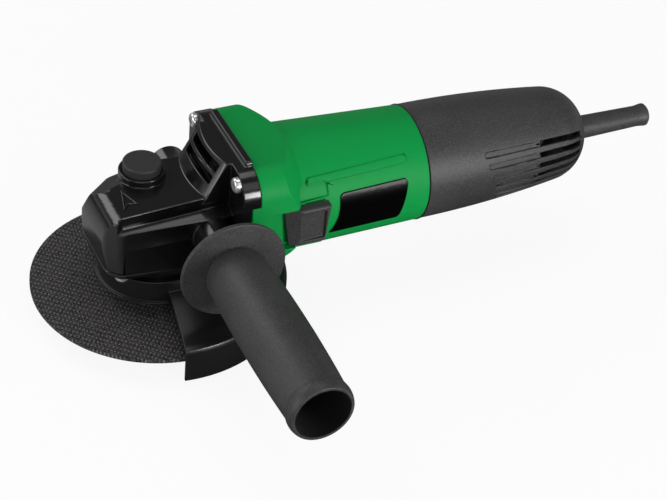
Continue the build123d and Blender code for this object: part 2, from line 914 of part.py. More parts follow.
def gear_housing():
    back = flange_front + past
    halves = (flank_half_width, flank_half_width)
    levels = [Pos(0, 0, floor_z) * nose_base(back)]
    for height, far_cut in ((crease_z, crease_far_cut), (deck_z + past, deck_far_cut)):
        flank = nose_outline(flank_front, halves, (nose_cut, far_cut), flank_half_width, back)
        levels.append(Pos(0, 0, height) * flank)
    shell = loft(levels, ruled=True) & nose_sweep()
    shell -= far_fall()
    groove = near_groove()
    shell -= groove
    shell -= mirror(groove, about=Plane.XZ)
    shell += flange_prism(flange_top_rise, flange_front, seam_x)
    shell += handle_bosses()
    rib = block((seam_x - rib_depth, seam_x), (-rib_half_width, rib_half_width),
                (axis_z + flange_top_rise - 2 * past, axis_z + rib_rise))
    shell += fillet(rib.edges().filter_by(Axis.X).group_by(Axis.Z)[-1], rib_rounding)
    shell -= block((step_x, seam_x + past), (-FAR, FAR), (0, axis_z + flange_step_rise))
    shell += along_x(bearing_boss_radius, flange_front, front_bearing_front + front_bearing_width)
    shell += hood()
    shell += upright(lock_cap_diameter / 2 + running_gap + lock_ring_wall, ceiling_z + past,
                     axis_z + lock_ring_rise, lock_x, lock_y)
    return shell - gear_housing_hollows()


def gear_housing_hollows():
    cut = upright(chamber_radius, floor_z - past, ceiling_z)
    cut += upright(bush_outer / 2, ceiling_z - past, bush_top + seat_gap)
    pinion_hole = gear_module * pinion_teeth / 2 + pinion_addendum + 3 * body_gap
    cut += along_x(pinion_hole, pinion_front / 2, front_bearing_front + past)
    cut += along_x(front_bearing_outer / 2 + seat_gap, front_bearing_front - seat_gap, FAR)
    cut += upright(lock_cap_diameter / 2 + running_gap, axis_z + lock_well_rise, FAR, lock_x, lock_y)
    cut += upright(lock_pin_diameter / 2 + running_gap, ceiling_z - past, FAR, lock_x, lock_y)
    cut += duct() + hood_slots()
    for side in (-1, 1):
        span = sorted((side * (handle_boss_reach - handle_thread_depth), side * (handle_boss_reach + past)))
        cut += along_y(handle_thread / 2, span[0], span[1], handle_x, axis_z)
    for y, rise in housing_screw_spots():
        hole = housing_screw_radius + running_gap
        cut += along_x(hole, flange_front - past, seam_x + past, y, axis_z + rise)
    for x, y in retainer_screw_spots():
        cut += upright(retainer_screw_radius, floor_z - past, floor_z + retainer_screw_depth, x, y)
    for side in (-1, 1):
        cut += along_x(plate_screw_radius, plate_screw_front, FAR, side * plate_screw_pitch)
    return cut


def housing_screws():
    screw = pan_screw(housing_screw_head, housing_screw_radius - seat_gap, housing_screw_length)
    laid = Pos(flange_front - seat_gap, 0, axis_z) * Rot(0, -90, 0) * screw
    return group([Pos(0, y, rise) * laid for y, rise in housing_screw_spots()])


# Lock button
lock_cap_low = axis_z + lock_cap_rise - lock_cap_height
lock_spring_radius = lock_pin_diameter / 2 + lock_spring_room
lock_pin_low = gear_face_z + lock_pin_gap
lock_pin_top = axis_z + lock_cap_rise - lock_cap_roof
lock_clip_neck = lock_pin_diameter / 2 - lock_pin_groove
lock_clip_high = ceiling_z - body_gap


def lock_button():
    cap = upright(lock_cap_diameter / 2, lock_cap_low, axis_z + lock_cap_rise, lock_x, lock_y)
    cap = fillet(cap.edges().group_by(Axis.Z)[-1], lock_cap_rounding)
    room = lock_spring_wire / 2 + body_gap
    pocket = ring_z(lock_spring_radius + room, lock_spring_radius - room, lock_cap_low - past,
                    lock_cap_low + lock_spring_pocket)
    cap -= Pos(lock_x, lock_y, 0) * pocket
    return cap - upright(lock_pin_diameter / 2 + seat_gap, lock_cap_low - past, lock_pin_top, lock_x, lock_y)


def lock_pin():
    pin = upright(lock_pin_diameter / 2, lock_pin_low, lock_pin_top - seat_gap, lock_x, lock_y)
    pin = chamfer(pin.edges().group_by(Axis.Z)[0], lock_pin_chamfer)
    groove = ring_z(lock_pin_diameter, lock_clip_neck, lock_clip_high - circlip_thickness, lock_clip_high)
    return pin - Pos(lock_x, lock_y, 0) * groove


def lock_pin_clip():
    clip = split_ring(lock_pin_diameter / 2 + lock_clip_reach, lock_clip_neck + seat_gap,
                      lock_clip_high - circlip_thickness + seat_gap, lock_clip_high - seat_gap,
                      2 * lock_clip_neck - lock_clip_grip)
    return Pos(lock_x, lock_y, 0) * clip


def lock_spring():
    height = lock_cap_low + lock_spring_pocket - (axis_z + lock_well_rise) - 2 * seat_gap
    spring = coil_spring(lock_spring_radius, lock_spring_wire, height, lock_spring_turns)
    return Pos(lock_x, lock_y, axis_z + lock_well_rise + seat_gap) * spring


# Side handle on the near boss
grip_start = boss_face_y - body_gap
stud_head_start = grip_hub_length + shield_thickness + stud_head_inset
stud_head_end = stud_head_start + stud_head_height


def handle_point(out, diameter):
    """Point beside the handle axis, at a distance out from the boss."""
    return handle_x + diameter / 2, grip_start - out, axis_z


def along_handle(points):
    """Solid turned about the handle axis from points given as (distance out from the boss, radius)."""
    outline = [handle_point(out, 2 * radius) for out, radius in points]
    face = make_face(Polyline(*outline, close=True).edges())
    return revolve(face, Axis((handle_x, 0, axis_z), (0, 1, 0)))


def grip_tube(start):
    """Hand-filling tube: a shoulder, a belly, a waist, and a rounded bead round the open end."""
    waist_at = grip_length - grip_bead_length
    belly_at = start + grip_belly_share * (waist_at - start)
    bead_at = grip_length - grip_bead_length / 2
    shoulder = handle_point(start, grip_diameter)
    belly = handle_point(belly_at, grip_belly_diameter)
    waist = handle_point(waist_at, grip_diameter)
    bead = handle_point(bead_at, grip_bead_diameter)
    lip = handle_point(grip_length, grip_lip_diameter)
    straight = Polyline(lip, handle_point(grip_length, 0), handle_point(start, 0), shoulder)
    face = make_face([Spline(shoulder, belly, waist), ThreePointArc(waist, bead, lip)] + straight.edges())
    tube = revolve(face, Axis((handle_x, 0, axis_z), (0, 1, 0)))
    circles = [e for e in tube.edges() if e.geom_type == GeomType.CIRCLE]
    return fillet([e for e in circles if e.center().Y > shoulder[1] - close], grip_shoulder_rounding)


def handle_grip():
    hub = grip_hub_diameter / 2
    shield = shield_diameter / 2
    neck = grip_neck_diameter / 2
    back = grip_hub_length + shield_thickness
    tube_start = back + shield_slope + grip_neck_length
    solid = along_handle([(0, 0), (0, hub), (grip_hub_length, hub), (grip_hub_length + shield_slope, shield),
                          (back, shield), (back + shield_slope, neck), (tube_start + past, neck),
                          (tube_start + past, 0)])
    out = [e for e in solid.edges() if e.geom_type == GeomType.CIRCLE]
    rim = [e for e in out if abs(e.radius - shield) < close]
    solid = fillet(rim, shield_rounding) + grip_tube(tube_start)
    bore_start = grip_length - grip_bore_depth
    solid -= along_handle([(bore_start, 0), (bore_start, grip_bore / 2), (grip_length + past, grip_bore / 2),
                           (grip_length + past, 0)])
    stud = handle_thread / 2 + seat_gap
    head = stud_head_diameter / 2 + seat_gap
    solid -= along_handle([(-past, 0), (-past, stud), (stud_head_start - seat_gap, stud),
                           (stud_head_start - seat_gap, head),
                           (stud_head_end + seat_gap, head), (stud_head_end + seat_gap, 0)])
    return solid


def handle_stud():
    thread = handle_thread / 2 - seat_gap
    head = stud_head_diameter / 2
    tip = -stud_engagement - body_gap
    return along_handle([(tip, 0), (tip, thread - stud_chamfer), (tip + stud_chamfer, thread),
                         (stud_head_start, thread), (stud_head_start, head), (stud_head_end, head),
                         (stud_head_end, 0)])


# Wheel guard
guard_inner_radius = disc_diameter / 2 + guard_gap
guard_outer_radius = guard_inner_radius + guard_sheet
collar_inner = neck_diameter / 2 + running_gap
collar_outer = collar_inner + guard_collar_wall
collar_high = axis_z - guard_collar_drop
collar_low = collar_high - guard_collar_height
lug_low = collar_low + guard_lug_lift
lug_high = lug_low + guard_lug_height
lug_screw_x = collar_outer + guard_lug_reach / 2 + merge
lug_screw_z = (lug_low + lug_high) / 2
lug_outer = guard_split / 2 + guard_lug_width


def guard():
    hub_z = axis_z - guard_hub_drop
    rim_z = axis_z - guard_rim_drop
    low_z = axis_z - guard_skirt_drop
    turn = guard_rounding
    bend_out = turn * guard_bend[0]
    bend_in = turn * guard_bend[1]
    root = collar_outer - merge
    outer = guard_outer_radius
    inner = guard_inner_radius
    roof_z = rim_z - guard_sheet
    outline = [(root, hub_z), (outer - turn, rim_z), (outer - bend_out, rim_z - bend_out)]
    outline += [(outer, rim_z - turn), (outer, low_z), (inner, low_z)]
    outline += [ (inner, rim_z - turn), (inner - bend_out, roof_z - bend_in)]
    outline += [(inner - turn, roof_z), (root, hub_z - guard_sheet)]
    wire = Polyline(*[(radius, 0, z) for radius, z in outline], close=True)
    shroud = revolve(make_face(wire.edges()), Axis.Z, revolution_arc=guard_span)
    shroud = Rot(0, 0, -guard_span / 2) * shroud
    collar = ring_z(collar_outer, collar_inner, collar_low, collar_high)
    collar += ring_z(collar_outer + guard_bead[0], collar_inner, collar_low, collar_low + guard_bead[1])
    lugs = block((collar_inner + past, collar_outer + guard_lug_reach), (-lug_outer, lug_outer),
                 (lug_low, lug_high))
    tips = [e for e in lugs.edges().filter_by(Axis.Y) if e.center().X > collar_outer]
    lugs = fillet(tips, guard_lug_rounding)
    split = block((0, FAR), (-guard_split / 2, guard_split / 2), (collar_low - past, collar_high + past))
    reach = lug_outer + past
    hole = along_y(guard_screw / 2 + running_gap, -reach, reach, lug_screw_x, lug_screw_z)
    turn_lugs = Rot(0, 0, guard_lug_angle)
    return collar + turn_lugs * lugs - turn_lugs * (split + hole) + shroud


def guard_clamp_screw():
    screw = pan_screw(guard_screw_head, guard_screw / 2 - seat_gap, 2 * lug_outer + guard_screw_tail)
    laid = Pos(lug_screw_x, lug_outer + seat_gap, lug_screw_z) * Rot(-90, 0, 0) * screw
    return Rot(0, 0, guard_lug_angle) * laid


def guard_clamp_nut():
    nut = extrude(RegularPolygon(guard_nut_radius, 6), guard_nut_height)
    nut -= Cylinder(guard_screw / 2, 3 * guard_nut_height)
    laid = Pos(lug_screw_x, -lug_outer - seat_gap, lug_screw_z) * Rot(90, 0, 0) * nut
    return Rot(0, 0, guard_lug_angle) * laid


# Motor housing
def barrel(proud):
    """Tapered barrel, its front circle a little above the motor axis, standing proud by an amount."""
    front = Plane((barrel_front, 0, axis_z + barrel_front_lift), z_dir=(1, 0, 0))
    back = Plane((cover_seam, 0, axis_z), z_dir=(1, 0, 0))
    ends = [front * Circle(barrel_front_radius + proud), back * Circle(barrel_rear_radius + proud)]
    return loft(ends, ruled=True)


def underside():
    """Wedge below the front block that leaves the turning guard its room."""
    slope_end = shoulder_back + underside_reach
    drop = flange_low_drop + guard_slope * (slope_end - flange_front)
    start = flange_front - past
    shape = [(start, past * guard_slope - flange_low_drop), (slope_end, -drop), (slope_end, -FAR)]
    return side_profile(shape + [(start, -FAR)], FAR)


def low_shoulder():
    """Wedge that sweeps the lower back corners of the front block into the barrel."""
    shape = [(shoulder_low_front, -flange_low_drop), (shoulder_back, 0), (2 * shoulder_back, 0)]
    return side_profile(shape + [(2 * shoulder_back, -FAR), (shoulder_low_front, -FAR)], FAR)


def motor_housing():
    corner = math.hypot(flange_half_width, block_top_rise)
    cone = turned_x([(0, 0), (0, corner), (shoulder_front, corner), (shoulder_back, barrel_front_radius),
                     (2 * shoulder_back, 0)])
    body = flange_prism(block_top_rise, step_x, shoulder_back + past) & cone
    body -= low_shoulder()
    start = step_x + fan_chamber_step
    thin, thick = [fan_chamber_radius + wall for wall in fan_chamber_wall]
    body += turned_x([(start, 0), (start, thin), (baffle_seat, thick), (shoulder_back, thick),
                      (shoulder_back, 0)])
    body += barrel(0) + along_x(spigot_radius, cover_seam - past, spigot_end)
    body -= underside()
    body -= block((0, seam_x), (-FAR, FAR), (axis_z + flange_step_rise, FAR))
    strip = block((strip_front, strip_back), (-FAR, 0),
                  (axis_z + strip_rise - strip_height / 2, axis_z + strip_rise + strip_height / 2))
    strip = fillet(strip.edges().filter_by(Axis.Y), strip_height * strip_rounding_share)
    body += barrel(strip_proud) & strip
    body += knob_rail()
    body = body - motor_housing_hollows() + motor_housing_inner()
    for side in (-1, 1):
        body -= along_x(stator_screw_radius, stator_stop - past, stator_stop + post_length - past, 0,
                        axis_z + side * stator_screw_pitch)
    return body


def knob_rail():
    """Shelf under the thumb knob."""
    rail = block((knob_front + knob_front_lean, knob_front + knob_length - knob_back_lean),
                 (-knob_rail_reach, 2 * past - pocket_floor),
                 (axis_z - knob_low - pocket_margin - knob_rail_height, axis_z - knob_low - pocket_margin))
    tips = [e for e in rail.edges().filter_by(Axis.Z) if e.center().Y < -pocket_floor]
    return fillet(tips, knob_rail_height)


def finger_recess():
    """Shallow recess in the barrel's skin above the thumb knob."""
    low = axis_z + knob_high + pocket_margin - merge
    back = knob_front + knob_length + pocket_margin
    window = block((knob_front + recess_start, back), (-FAR, 0), (low, low + recess_height))
    corner = window.edges().filter_by(Axis.Y).group_by(Axis.Z)[-1]
    return fillet(corner, recess_rounding) - barrel(-recess_depth)


def motor_housing_hollows():
    cut = along_x(fan_chamber_radius, 0, baffle_seat + past)
    cut += along_x(stator_bore_radius, baffle_seat, stator_stop)
    cut += along_x(brush_bore_radius, stator_stop - past, FAR)
    cut += duct()
    for y, rise in housing_screw_spots():
        cut += along_x(housing_screw_radius, 0, flange_front + housing_screw_length + past, y, axis_z + rise)
    knob_back = knob_front + knob_length
    cut += block((knob_front - switch_travel - pocket_margin, knob_back + pocket_margin),
                 (-FAR, -pocket_floor),
                 (axis_z - knob_low - pocket_margin, axis_z + knob_high + pocket_margin))
    cut += finger_recess()
    rod_room = (axis_z - rod_width / 2 - body_gap, axis_z + rod_width / 2 + body_gap)
    neck_span = (neck_front - switch_travel - neck_room, neck_back + neck_room)
    cut += block(neck_span, (-FAR, -core_radius), rod_room)
    rod_span = (-rod_outer - body_gap, 2 * past - brush_bore_radius)
    cut += block((stator_stop - past, spigot_end + past), rod_span, rod_room)
    cut += upright(cover_screw_radius, axis_z - FAR / 4, axis_z, cover_screw_x)
    return cut


def motor_housing_inner():
    """Rear bearing bridge across the brush end and the two stator screw posts."""
    bridge = along_x(brush_bore_radius + merge, bridge_front, bridge_front + bridge_length)
    bridge &= block((0, FAR), (-FAR, FAR), (axis_z - bridge_half_height, axis_z + bridge_half_height))
    bridge -= block((0, FAR), (-FAR, past - brush_bore_radius), (0, FAR))
    seat = rear_bearing_outer / 2 + seat_gap
    bridge -= along_x(seat, bridge_front - past, bridge_front + bridge_length - past)
    bridge -= along_x(rear_bearing_bore, 0, FAR)
    for side in (-1, 1):
        post_z = axis_z + side * stator_screw_pitch
        bridge += along_x(post_radius, stator_stop, stator_stop + post_length, 0, post_z)
    return bridge


# Switch
neck_front = knob_front + neck_start
neck_back = neck_front + neck_length
jog_x = spigot_end + switch_travel + past
jog_depth = rod_outer - rod_inner
arm_x = switch_front + rod_place


def switch_slider():
    """Thumb knob with leaning ends, a ramp in front, a sunk thumb pad, and the neck that reaches its rod."""
    back = knob_front + knob_length
    shape = [(knob_front, knob_high), (back, knob_high), (back - knob_back_lean, -knob_low)]
    shape += [(knob_front + knob_front_lean, -knob_low)]
    root = -pocket_floor - body_gap
    plan = [(knob_front, root), (back, root), (back, -knob_face), (knob_front + knob_ramp, -knob_face)]
    plan += [(knob_front, -knob_ramp_face)]
    prism = extrude(make_face(Polyline(*plan, close=True).edges()), FAR)
    knob = side_profile(shape, knob_face + past) & prism
    knob = fillet([e for e in knob.edges() if e.center().Y < close - knob_face], knob_rounding)
    pad = block((0, knob_length - pad_front - pad_back_rim), (-FAR, 0),
                (axis_z - knob_low + pad_rim, axis_z + knob_high - pad_rim))
    pad = Pos(knob_front + pad_front, pad_depth - knob_face - merge, 0) * Rot(0, 0, pad_tilt) * pad
    neck = block((neck_front, neck_back), (-pocket_floor - neck_sink, -rod_outer - seat_gap),
                 (axis_z - rod_width / 2, axis_z + rod_width / 2))
    return knob - pad + neck


def switch_rod():
    """Flat push rod beside the stator, stepped inwards behind the brush end to reach the switch."""
    half = rod_width / 2
    high = (axis_z - half, axis_z + half)
    outside = (-rod_outer, -rod_outer + rod_thickness)
    inside = (-rod_outer + jog_depth - rod_thickness, -rod_outer + jog_depth)
    rod = block((neck_front, jog_x + rod_jog_width), outside, high)
    rod += block((jog_x, jog_x + rod_jog_width), (-rod_outer, -rod_outer + jog_depth), high)
    rod += block((jog_x, arm_x), inside, high)
    rod += block((arm_x - rod_arm, arm_x), (inside[0], -switch_half_width - body_gap), high)
    return rod


def switch_lever():
    """Sliding actuator on the side of the switch, pushed by the rod."""
    return block((arm_x + seat_gap, arm_x + lever_length),
                 (-switch_half_width - lever_reach, -switch_half_width - body_gap),
                 (axis_z - lever_half_height, axis_z + lever_half_height))


def switch_body():
    back = switch_front + switch_length
    body = block((switch_front, back), (-switch_half_width, switch_half_width),
                 (axis_z - switch_low, axis_z + switch_high))
    body = fillet(body.edges().filter_by(Axis.X), switch_rounding)
    low, high = [axis_z - drop for drop in terminal_drop]
    for side in (-1, 1):
        middle = side * terminal_place
        body += block((back - past, back + terminal_reach),
                      (middle - terminal_half_width, middle + terminal_half_width), (low, high))
    return body


# Armature
def armature_shaft():
    end = rear_bearing_front + rear_bearing_width + shaft_tail
    front = front_bearing_front
    thread = pinion_bore / 2
    seat = front_bearing_bore / 2 - seat_gap
    tail = rear_bearing_bore / 2 - seat_gap
    tip = pinion_front - pinion_nut_height - shaft_tip
    back = front + front_bearing_width
    step = rear_bearing_front - seat_gap
    outline = [(tip, 0), (tip, thread), (front, thread), (front, seat), (back, seat), (back, shaft_radius)]
    outline += [(step, shaft_radius), (step, tail), (end, tail), (end, 0)]
    return turned_x(outline)


def slot_bars(width, depth, front, back):
    """Radial bars spaced round the motor axis, as many as the core has slots."""
    inner = core_radius - depth
    bar = block((front, back), (-width / 2, width / 2), (inner, core_radius - slot_lip))
    return [Pos(0, 0, axis_z) * Rot(360 * i / core_slots, 0, 0) * bar for i in range(core_slots)]


def armature_core():
    core = ring_x(core_radius, shaft_radius + seat_gap, core_front, core_back)
    ends = (core_front - past, core_back + past)
    mouth = block(ends, (-slot_mouth / 2, slot_mouth / 2), (core_radius - 2 * slot_lip, core_radius + past))
    cuts = slot_bars(slot_width, slot_depth, *ends)
    cuts += [Pos(0, 0, axis_z) * Rot(360 * i / core_slots, 0, 0) * mouth for i in range(core_slots)]
    return core - cuts


def armature_windings():
    """End turns at both ends of the core, joined by the bars that fill its slots."""
    inner = shaft_radius + seat_gap
    outer = core_radius - winding_inset
    cut = winding_chamfer
    front = core_front - winding_reach
    back = core_back + winding_reach
    near = core_front - seat_gap
    far = core_back + seat_gap
    front_end = [(front, inner), (front, outer - cut), (front + cut, outer), (near, outer), (near, inner)]
    back_end = [(back, inner), (back, outer - cut), (back - cut, outer), (far, outer), (far, inner)]
    bars = slot_bars(slot_width - winding_gap, slot_depth - winding_gap, core_front - past, core_back + past)
    ends = turned_x(front_end) + turned_x(back_end)
    return ends + [bar & along_x(outer - winding_gap, 0, FAR) for bar in bars]


def commutator():
    reach, thickness = commutator_flange
    width, depth = commutator_slit
    bore = shaft_radius + seat_gap
    drum = ring_x(commutator_radius, bore, commutator_front, commutator_back)
    drum += ring_x(commutator_radius + reach, bore, commutator_front, commutator_front + thickness)
    slit = block((commutator_front - past, commutator_back + past), (-width / 2, width / 2),
                 (commutator_radius - depth, commutator_radius + reach + past))
    turns = [Rot(360 * i / commutator_bars, 0, 0) for i in range(commutator_bars)]
    return drum - [Pos(0, 0, axis_z) * turn * slit for turn in turns]


def fan():
    """Backed radial fan on the shaft."""
    back = fan_front + fan_length
    hub = ring_x(fan_hub_radius, shaft_radius + seat_gap, fan_front, back)
    plate = ring_x(fan_radius, shaft_radius + seat_gap, fan_front, fan_front + fan_plate)
    blade = block((fan_front + fan_plate - merge, back - fan_blade_inset), (-fan_blade / 2, fan_blade / 2),
                  (fan_hub_radius - merge, fan_radius - seat_gap))
    blades = [Pos(0, 0, axis_z) * Rot(360 * i / fan_blades, 0, 0) * blade for i in range(fan_blades)]
    return hub + plate + blades


def fan_baffle():
    """Ring that closes the fan chamber, notched where the switch rod passes."""
    back = baffle_seat + seat_gap + baffle_thickness
    notch = block((0, FAR), (-FAR, running_gap - stator_flat), (axis_z - rod_width / 2 - body_gap,
                                                                axis_z + rod_width / 2 + body_gap))
    return ring_x(stator_bore_radius - seat_gap, core_radius + air_gap, baffle_seat + seat_gap, back) - notch


# Front bearing plate
plate_screw_pitch = (front_bearing_outer / 2 + bearing_boss_radius) / 2
plate_front_x = front_bearing_front + front_bearing_width + seat_gap
plate_screw_front = plate_front_x - plate_screw_reach


def front_bearing_plate():
    plate = ring_x(bearing_boss_radius, front_bearing_outer / 2 - bearing_plate_lip, plate_front_x,
                   plate_front_x + bearing_plate_thickness)
    for side in (-1, 1):
        hole = plate_screw_radius + running_gap
        plate -= along_x(hole, plate_front_x - past, FAR, side * plate_screw_pitch)
    return plate


def bearing_plate_screws():
    screw = pan_screw(plate_screw_head, plate_screw_radius - seat_gap, plate_screw_length)
    laid = Pos(plate_front_x + bearing_plate_thickness + seat_gap, 0, axis_z) * Rot(0, 90, 0) * screw
    return group([Pos(0, side * plate_screw_pitch, 0) * laid for side in (-1, 1)])


# Stator
bore_radius = core_radius + air_gap


def sector(outer, inner, front, back, half_angle, middle):
    """Part of a tube about the motor axis, spread evenly about a direction round the axis."""
    tube = ring_x(outer, inner, front, back)
    reach = 3 * outer
    out = reach * math.cos(math.radians(half_angle))
    across = reach * math.sin(math.radians(half_angle))
    wedge = Polyline((0, 0), (out, across), (reach, 0), (out, -across), close=True)
    prism = extrude(Plane.YZ * make_face(wedge.edges()), FAR)
    return tube & Pos(0, 0, axis_z) * Rot(middle, 0, 0) * prism


def stator_core():
    core = ring_x(stator_bore_radius - seat_gap, stator_yoke, core_front, core_back)
    for middle in (0, 180):
        core += sector(stator_yoke + merge, bore_radius, core_front, core_back, pole_half_angle, middle)
    core &= block((0, FAR), (-stator_flat, stator_flat), (0, FAR))
    for side in (-1, 1):
        core -= along_x(stator_screw_radius + running_gap, 0, FAR, 0, axis_z + side * stator_screw_pitch)
    return core


def stator_coils():
    """Two field coils, each a frame of wound wire round one pole."""
    front = core_front - coil_reach
    back = core_back + coil_reach
    outer = stator_yoke - coil_inset
    inner = bore_radius + coil_gap
    coils = []
    for middle in (0, 180):
        frame = sector(outer, inner, front, back, coil_half_angle, middle)
        window = sector(outer + past, inner - past, core_front - seat_gap, core_back + seat_gap,
                        pole_half_angle + coil_gap_angle, middle)
        coils.append(frame - window)
    return group(coils)


def stator_screws():
    screw = pan_screw(stator_screw_head, stator_screw_radius - seat_gap, core_length + stator_screw_tail)
    laid = Pos(core_front - seat_gap, 0, axis_z) * Rot(0, -90, 0) * screw
    return group([Pos(0, 0, side * stator_screw_pitch) * laid for side in (-1, 1)])


# Brushes
brush_x = commutator_front + commutator_length / 2 + brush_offset
brush_start = commutator_radius + running_gap
holder_start = brush_start + holder_gap
holder_end = brush_bore_radius - holder_inset
holder_roof = holder_end - holder_wall


def both_brushes(piece):
    """The same piece above and below the commutator."""
    return group([Pos(0, 0, axis_z) * piece, Pos(0, 0, axis_z) * Rot(180, 0, 0) * piece])


def brush_holders():
    half = brush_width / 2 + running_gap
    outer = half + holder_wall
    tube = block((brush_x - outer, brush_x + outer), (-outer, outer), (holder_start, holder_end))
    tube -= block((brush_x - half, brush_x + half), (-half, half), (0, holder_roof))
    return both_brushes(tube)


def brushes():
    half = brush_width / 2
    brush = block((brush_x - half, brush_x + half), (-half, half), (brush_start, brush_start + brush_length))
    return both_brushes(brush)


def brush_springs():
    start = brush_start + brush_length + seat_gap
    height = holder_roof - seat_gap - start
    radius = brush_width / 2 - brush_spring_wire
    spring = coil_spring(radius, brush_spring_wire, height, brush_spring_turns)
    return both_brushes(Pos(brush_x, 0, start) * spring)


# Rear cover
cover_screw_x = cover_seam + cover_screw_place
cover_screw_seat = axis_z - barrel_rear_radius + cover_screw_sink[1]


def cover_lines(inset):
    """Long taper and rounded end of the cover's outline, drawn in by an inset."""
    start = (cover_seam, 0, axis_z + barrel_rear_radius - inset)
    middle = (cover_mid_x, 0, axis_z + cover_mid_radius - inset)
    hip = (cover_hip_x, 0, axis_z + cover_hip_radius - inset)
    end = (cover_end - inset, 0, axis_z + cover_end_radius - inset / 2)
    taper = ThreePointArc(start, middle, hip)
    return taper, TangentArc(hip, end, tangent=taper % 1)


def cover_solid(inset):
    taper, rounding = cover_lines(inset)
    end = rounding @ 1
    closing = Polyline(end, (end.X, 0, axis_z), (cover_seam, 0, axis_z), taper @ 0)
    return revolve(make_face([taper, rounding] + closing.edges()), MOTOR_AXIS)


def vent_cut(front, back, step, side):
    """One row of air slots on a side, fanned round the motor axis."""
    slots = []
    for row in range(vent_count):
        angle = vent_first - vent_pitch * row
        slot = block((front + row * step, back), (-2 * barrel_rear_radius, -vent_inner),
                     (-vent_height / 2, vent_height / 2))
        slot = fillet(slot.edges().filter_by(Axis.Y), vent_height * vent_rounding_share)
        turned = Pos(0, 0, axis_z) * Rot(-angle, 0, 0) * slot
        slots.append(turned if side < 0 else mirror(turned, about=Plane.XZ))
    return slots


def seam_cut():
    """Small groove round the cover's front edge that shows the seam."""
    rim = barrel_rear_radius
    start = cover_seam - past
    end = cover_seam + seam_groove
    outline = [(start, 0), (start, rim + past), (end, rim + past), (end, rim)]
    outline += [(cover_seam, rim - seam_groove), (cover_seam, 0)]
    return turned_x(outline)


def cover_posts():
    """Ribs under the switch and the two screw posts of the cord clamp."""
    width, half = cover_rib
    low = axis_z - barrel_rear_radius
    under_switch = axis_z - switch_low - seat_gap
    posts = []
    for x in (switch_front + cover_rib_inset, switch_front + switch_length - cover_rib_inset):
        posts.append(block((x - width / 2, x + width / 2), (-half, half), (low, under_switch)))
    top = axis_z + clamp_rise
    for side in (-1, 1):
        y = side * clamp_pitch
        post = upright(clamp_post_radius, low, top, clamp_x, y)
        posts.append(post - upright(clamp_screw_radius, top - clamp_screw_bite, FAR, clamp_x, y))
    return [post & cover_solid(cover_wall / 2) for post in posts]


def rear_cover():
    wall = cover_solid(0) - cover_solid(cover_wall) - seam_cut()
    core = cover_solid(vent_groove_depth)
    for side in (-1, 1):
        wall -= vent_cut(vent_front, vent_back, 0, side)
        grooves = vent_cut(vent_groove_front, vent_front + vent_height, vent_groove_step, side)
        wall -= [groove - core for groove in grooves]
    cord_z = axis_z - cord_guard_drop
    wall -= along_x(guard_neck_radius + seat_gap, cover_end - guard_neck_room, FAR, 0, cord_z)
    wall -= upright(cover_screw_radius + running_gap, axis_z - FAR / 4, axis_z, cover_screw_x)
    wall -= upright(cover_screw_sink[0], axis_z - FAR / 4, cover_screw_seat, cover_screw_x)
    return wall + cover_posts()


def rear_cover_screw():
    screw = pan_screw(cover_screw_head, cover_screw_radius - seat_gap, cover_screw_length)
    return Pos(cover_screw_x, 0, cover_screw_seat - seat_gap) * Rot(180, 0, 0) * screw


# Cord inlet
def cord_guard():
    """Sleeve held in the cover's end by a bead inside, tapering to a small bell."""
    bore = cord_bore / 2
    bead = cover_end - guard_bead_inset
    bead_front = bead - guard_bead_size[0]
    bead_radius = guard_neck_radius + guard_bead_size[1]
    bell = cord_guard_end - bell_length
    outline = [(bead_front, bore), (bead_front, bead_radius), (bead, bead_radius), (bead, guard_neck_radius)]
    outline += [(cover_end + guard_step[0], guard_neck_radius)]
    outline += [(cover_end + guard_step[1], cord_guard_radius)]
    outline += [(bell - bell_flare, cord_guard_tip_radius), (bell, cord_guard_tip_radius + bell_swell)]
    outline += [(bell + bell_flare, cord_guard_bell_radius)]
    outline += [(cord_guard_end - bell_chamfer, cord_guard_bell_radius)]
    outline += [(cord_guard_end, cord_guard_bell_radius - bell_chamfer), (cord_guard_end, bore)]
    return Pos(0, 0, -cord_guard_drop) * turned_x(outline)


def cord_clamp():
    low = axis_z + clamp_rise + seat_gap
    half = clamp_pitch + clamp_overhang
    bar = block((clamp_x - clamp_half_width, clamp_x + clamp_half_width), (-half, half),
                (low, low + clamp_thickness))
    bar = fillet(bar.edges().filter_by(Axis.Z), clamp_rounding)
    for side in (-1, 1):
        bar -= upright(clamp_screw_radius + running_gap, 0, FAR, clamp_x, side * clamp_pitch)
    return bar


def cord_clamp_screws():
    screw = pan_screw(clamp_screw_head, clamp_screw_radius - seat_gap, clamp_screw_length)
    seat = axis_z + clamp_rise + clamp_thickness + 2 * seat_gap
    return group([Pos(clamp_x, side * clamp_pitch, seat) * screw for side in (-1, 1)])


def name_plate():
    """Bare plate bent round the near side of the barrel, three corners rounded and one left sharp."""
    back = plate_front + plate_length
    low_front = (plate_front - plate_lean, -plate_low)
    high_front = (plate_front + plate_lean, plate_high)
    hollow = (plate_front + plate_sweep, (plate_high - plate_low) / 2)
    sides = Polyline(low_front, (back - plate_lean, -plate_low), (back + plate_lean, plate_high), high_front)
    face = make_face(sides.edges() + [ThreePointArc(high_front, hollow, low_front)])
    rounded = [v for v in face.vertices() if (Vector(v) - Vector(*low_front)).length > plate_lean]
    face = fillet(rounded, plate_rounding)
    window = extrude(Plane((0, 0, axis_z), x_dir=(1, 0, 0), z_dir=(0, -1, 0)) * face, FAR)
    return (barrel(plate_thickness + seat_gap) & window) - barrel(seat_gap)


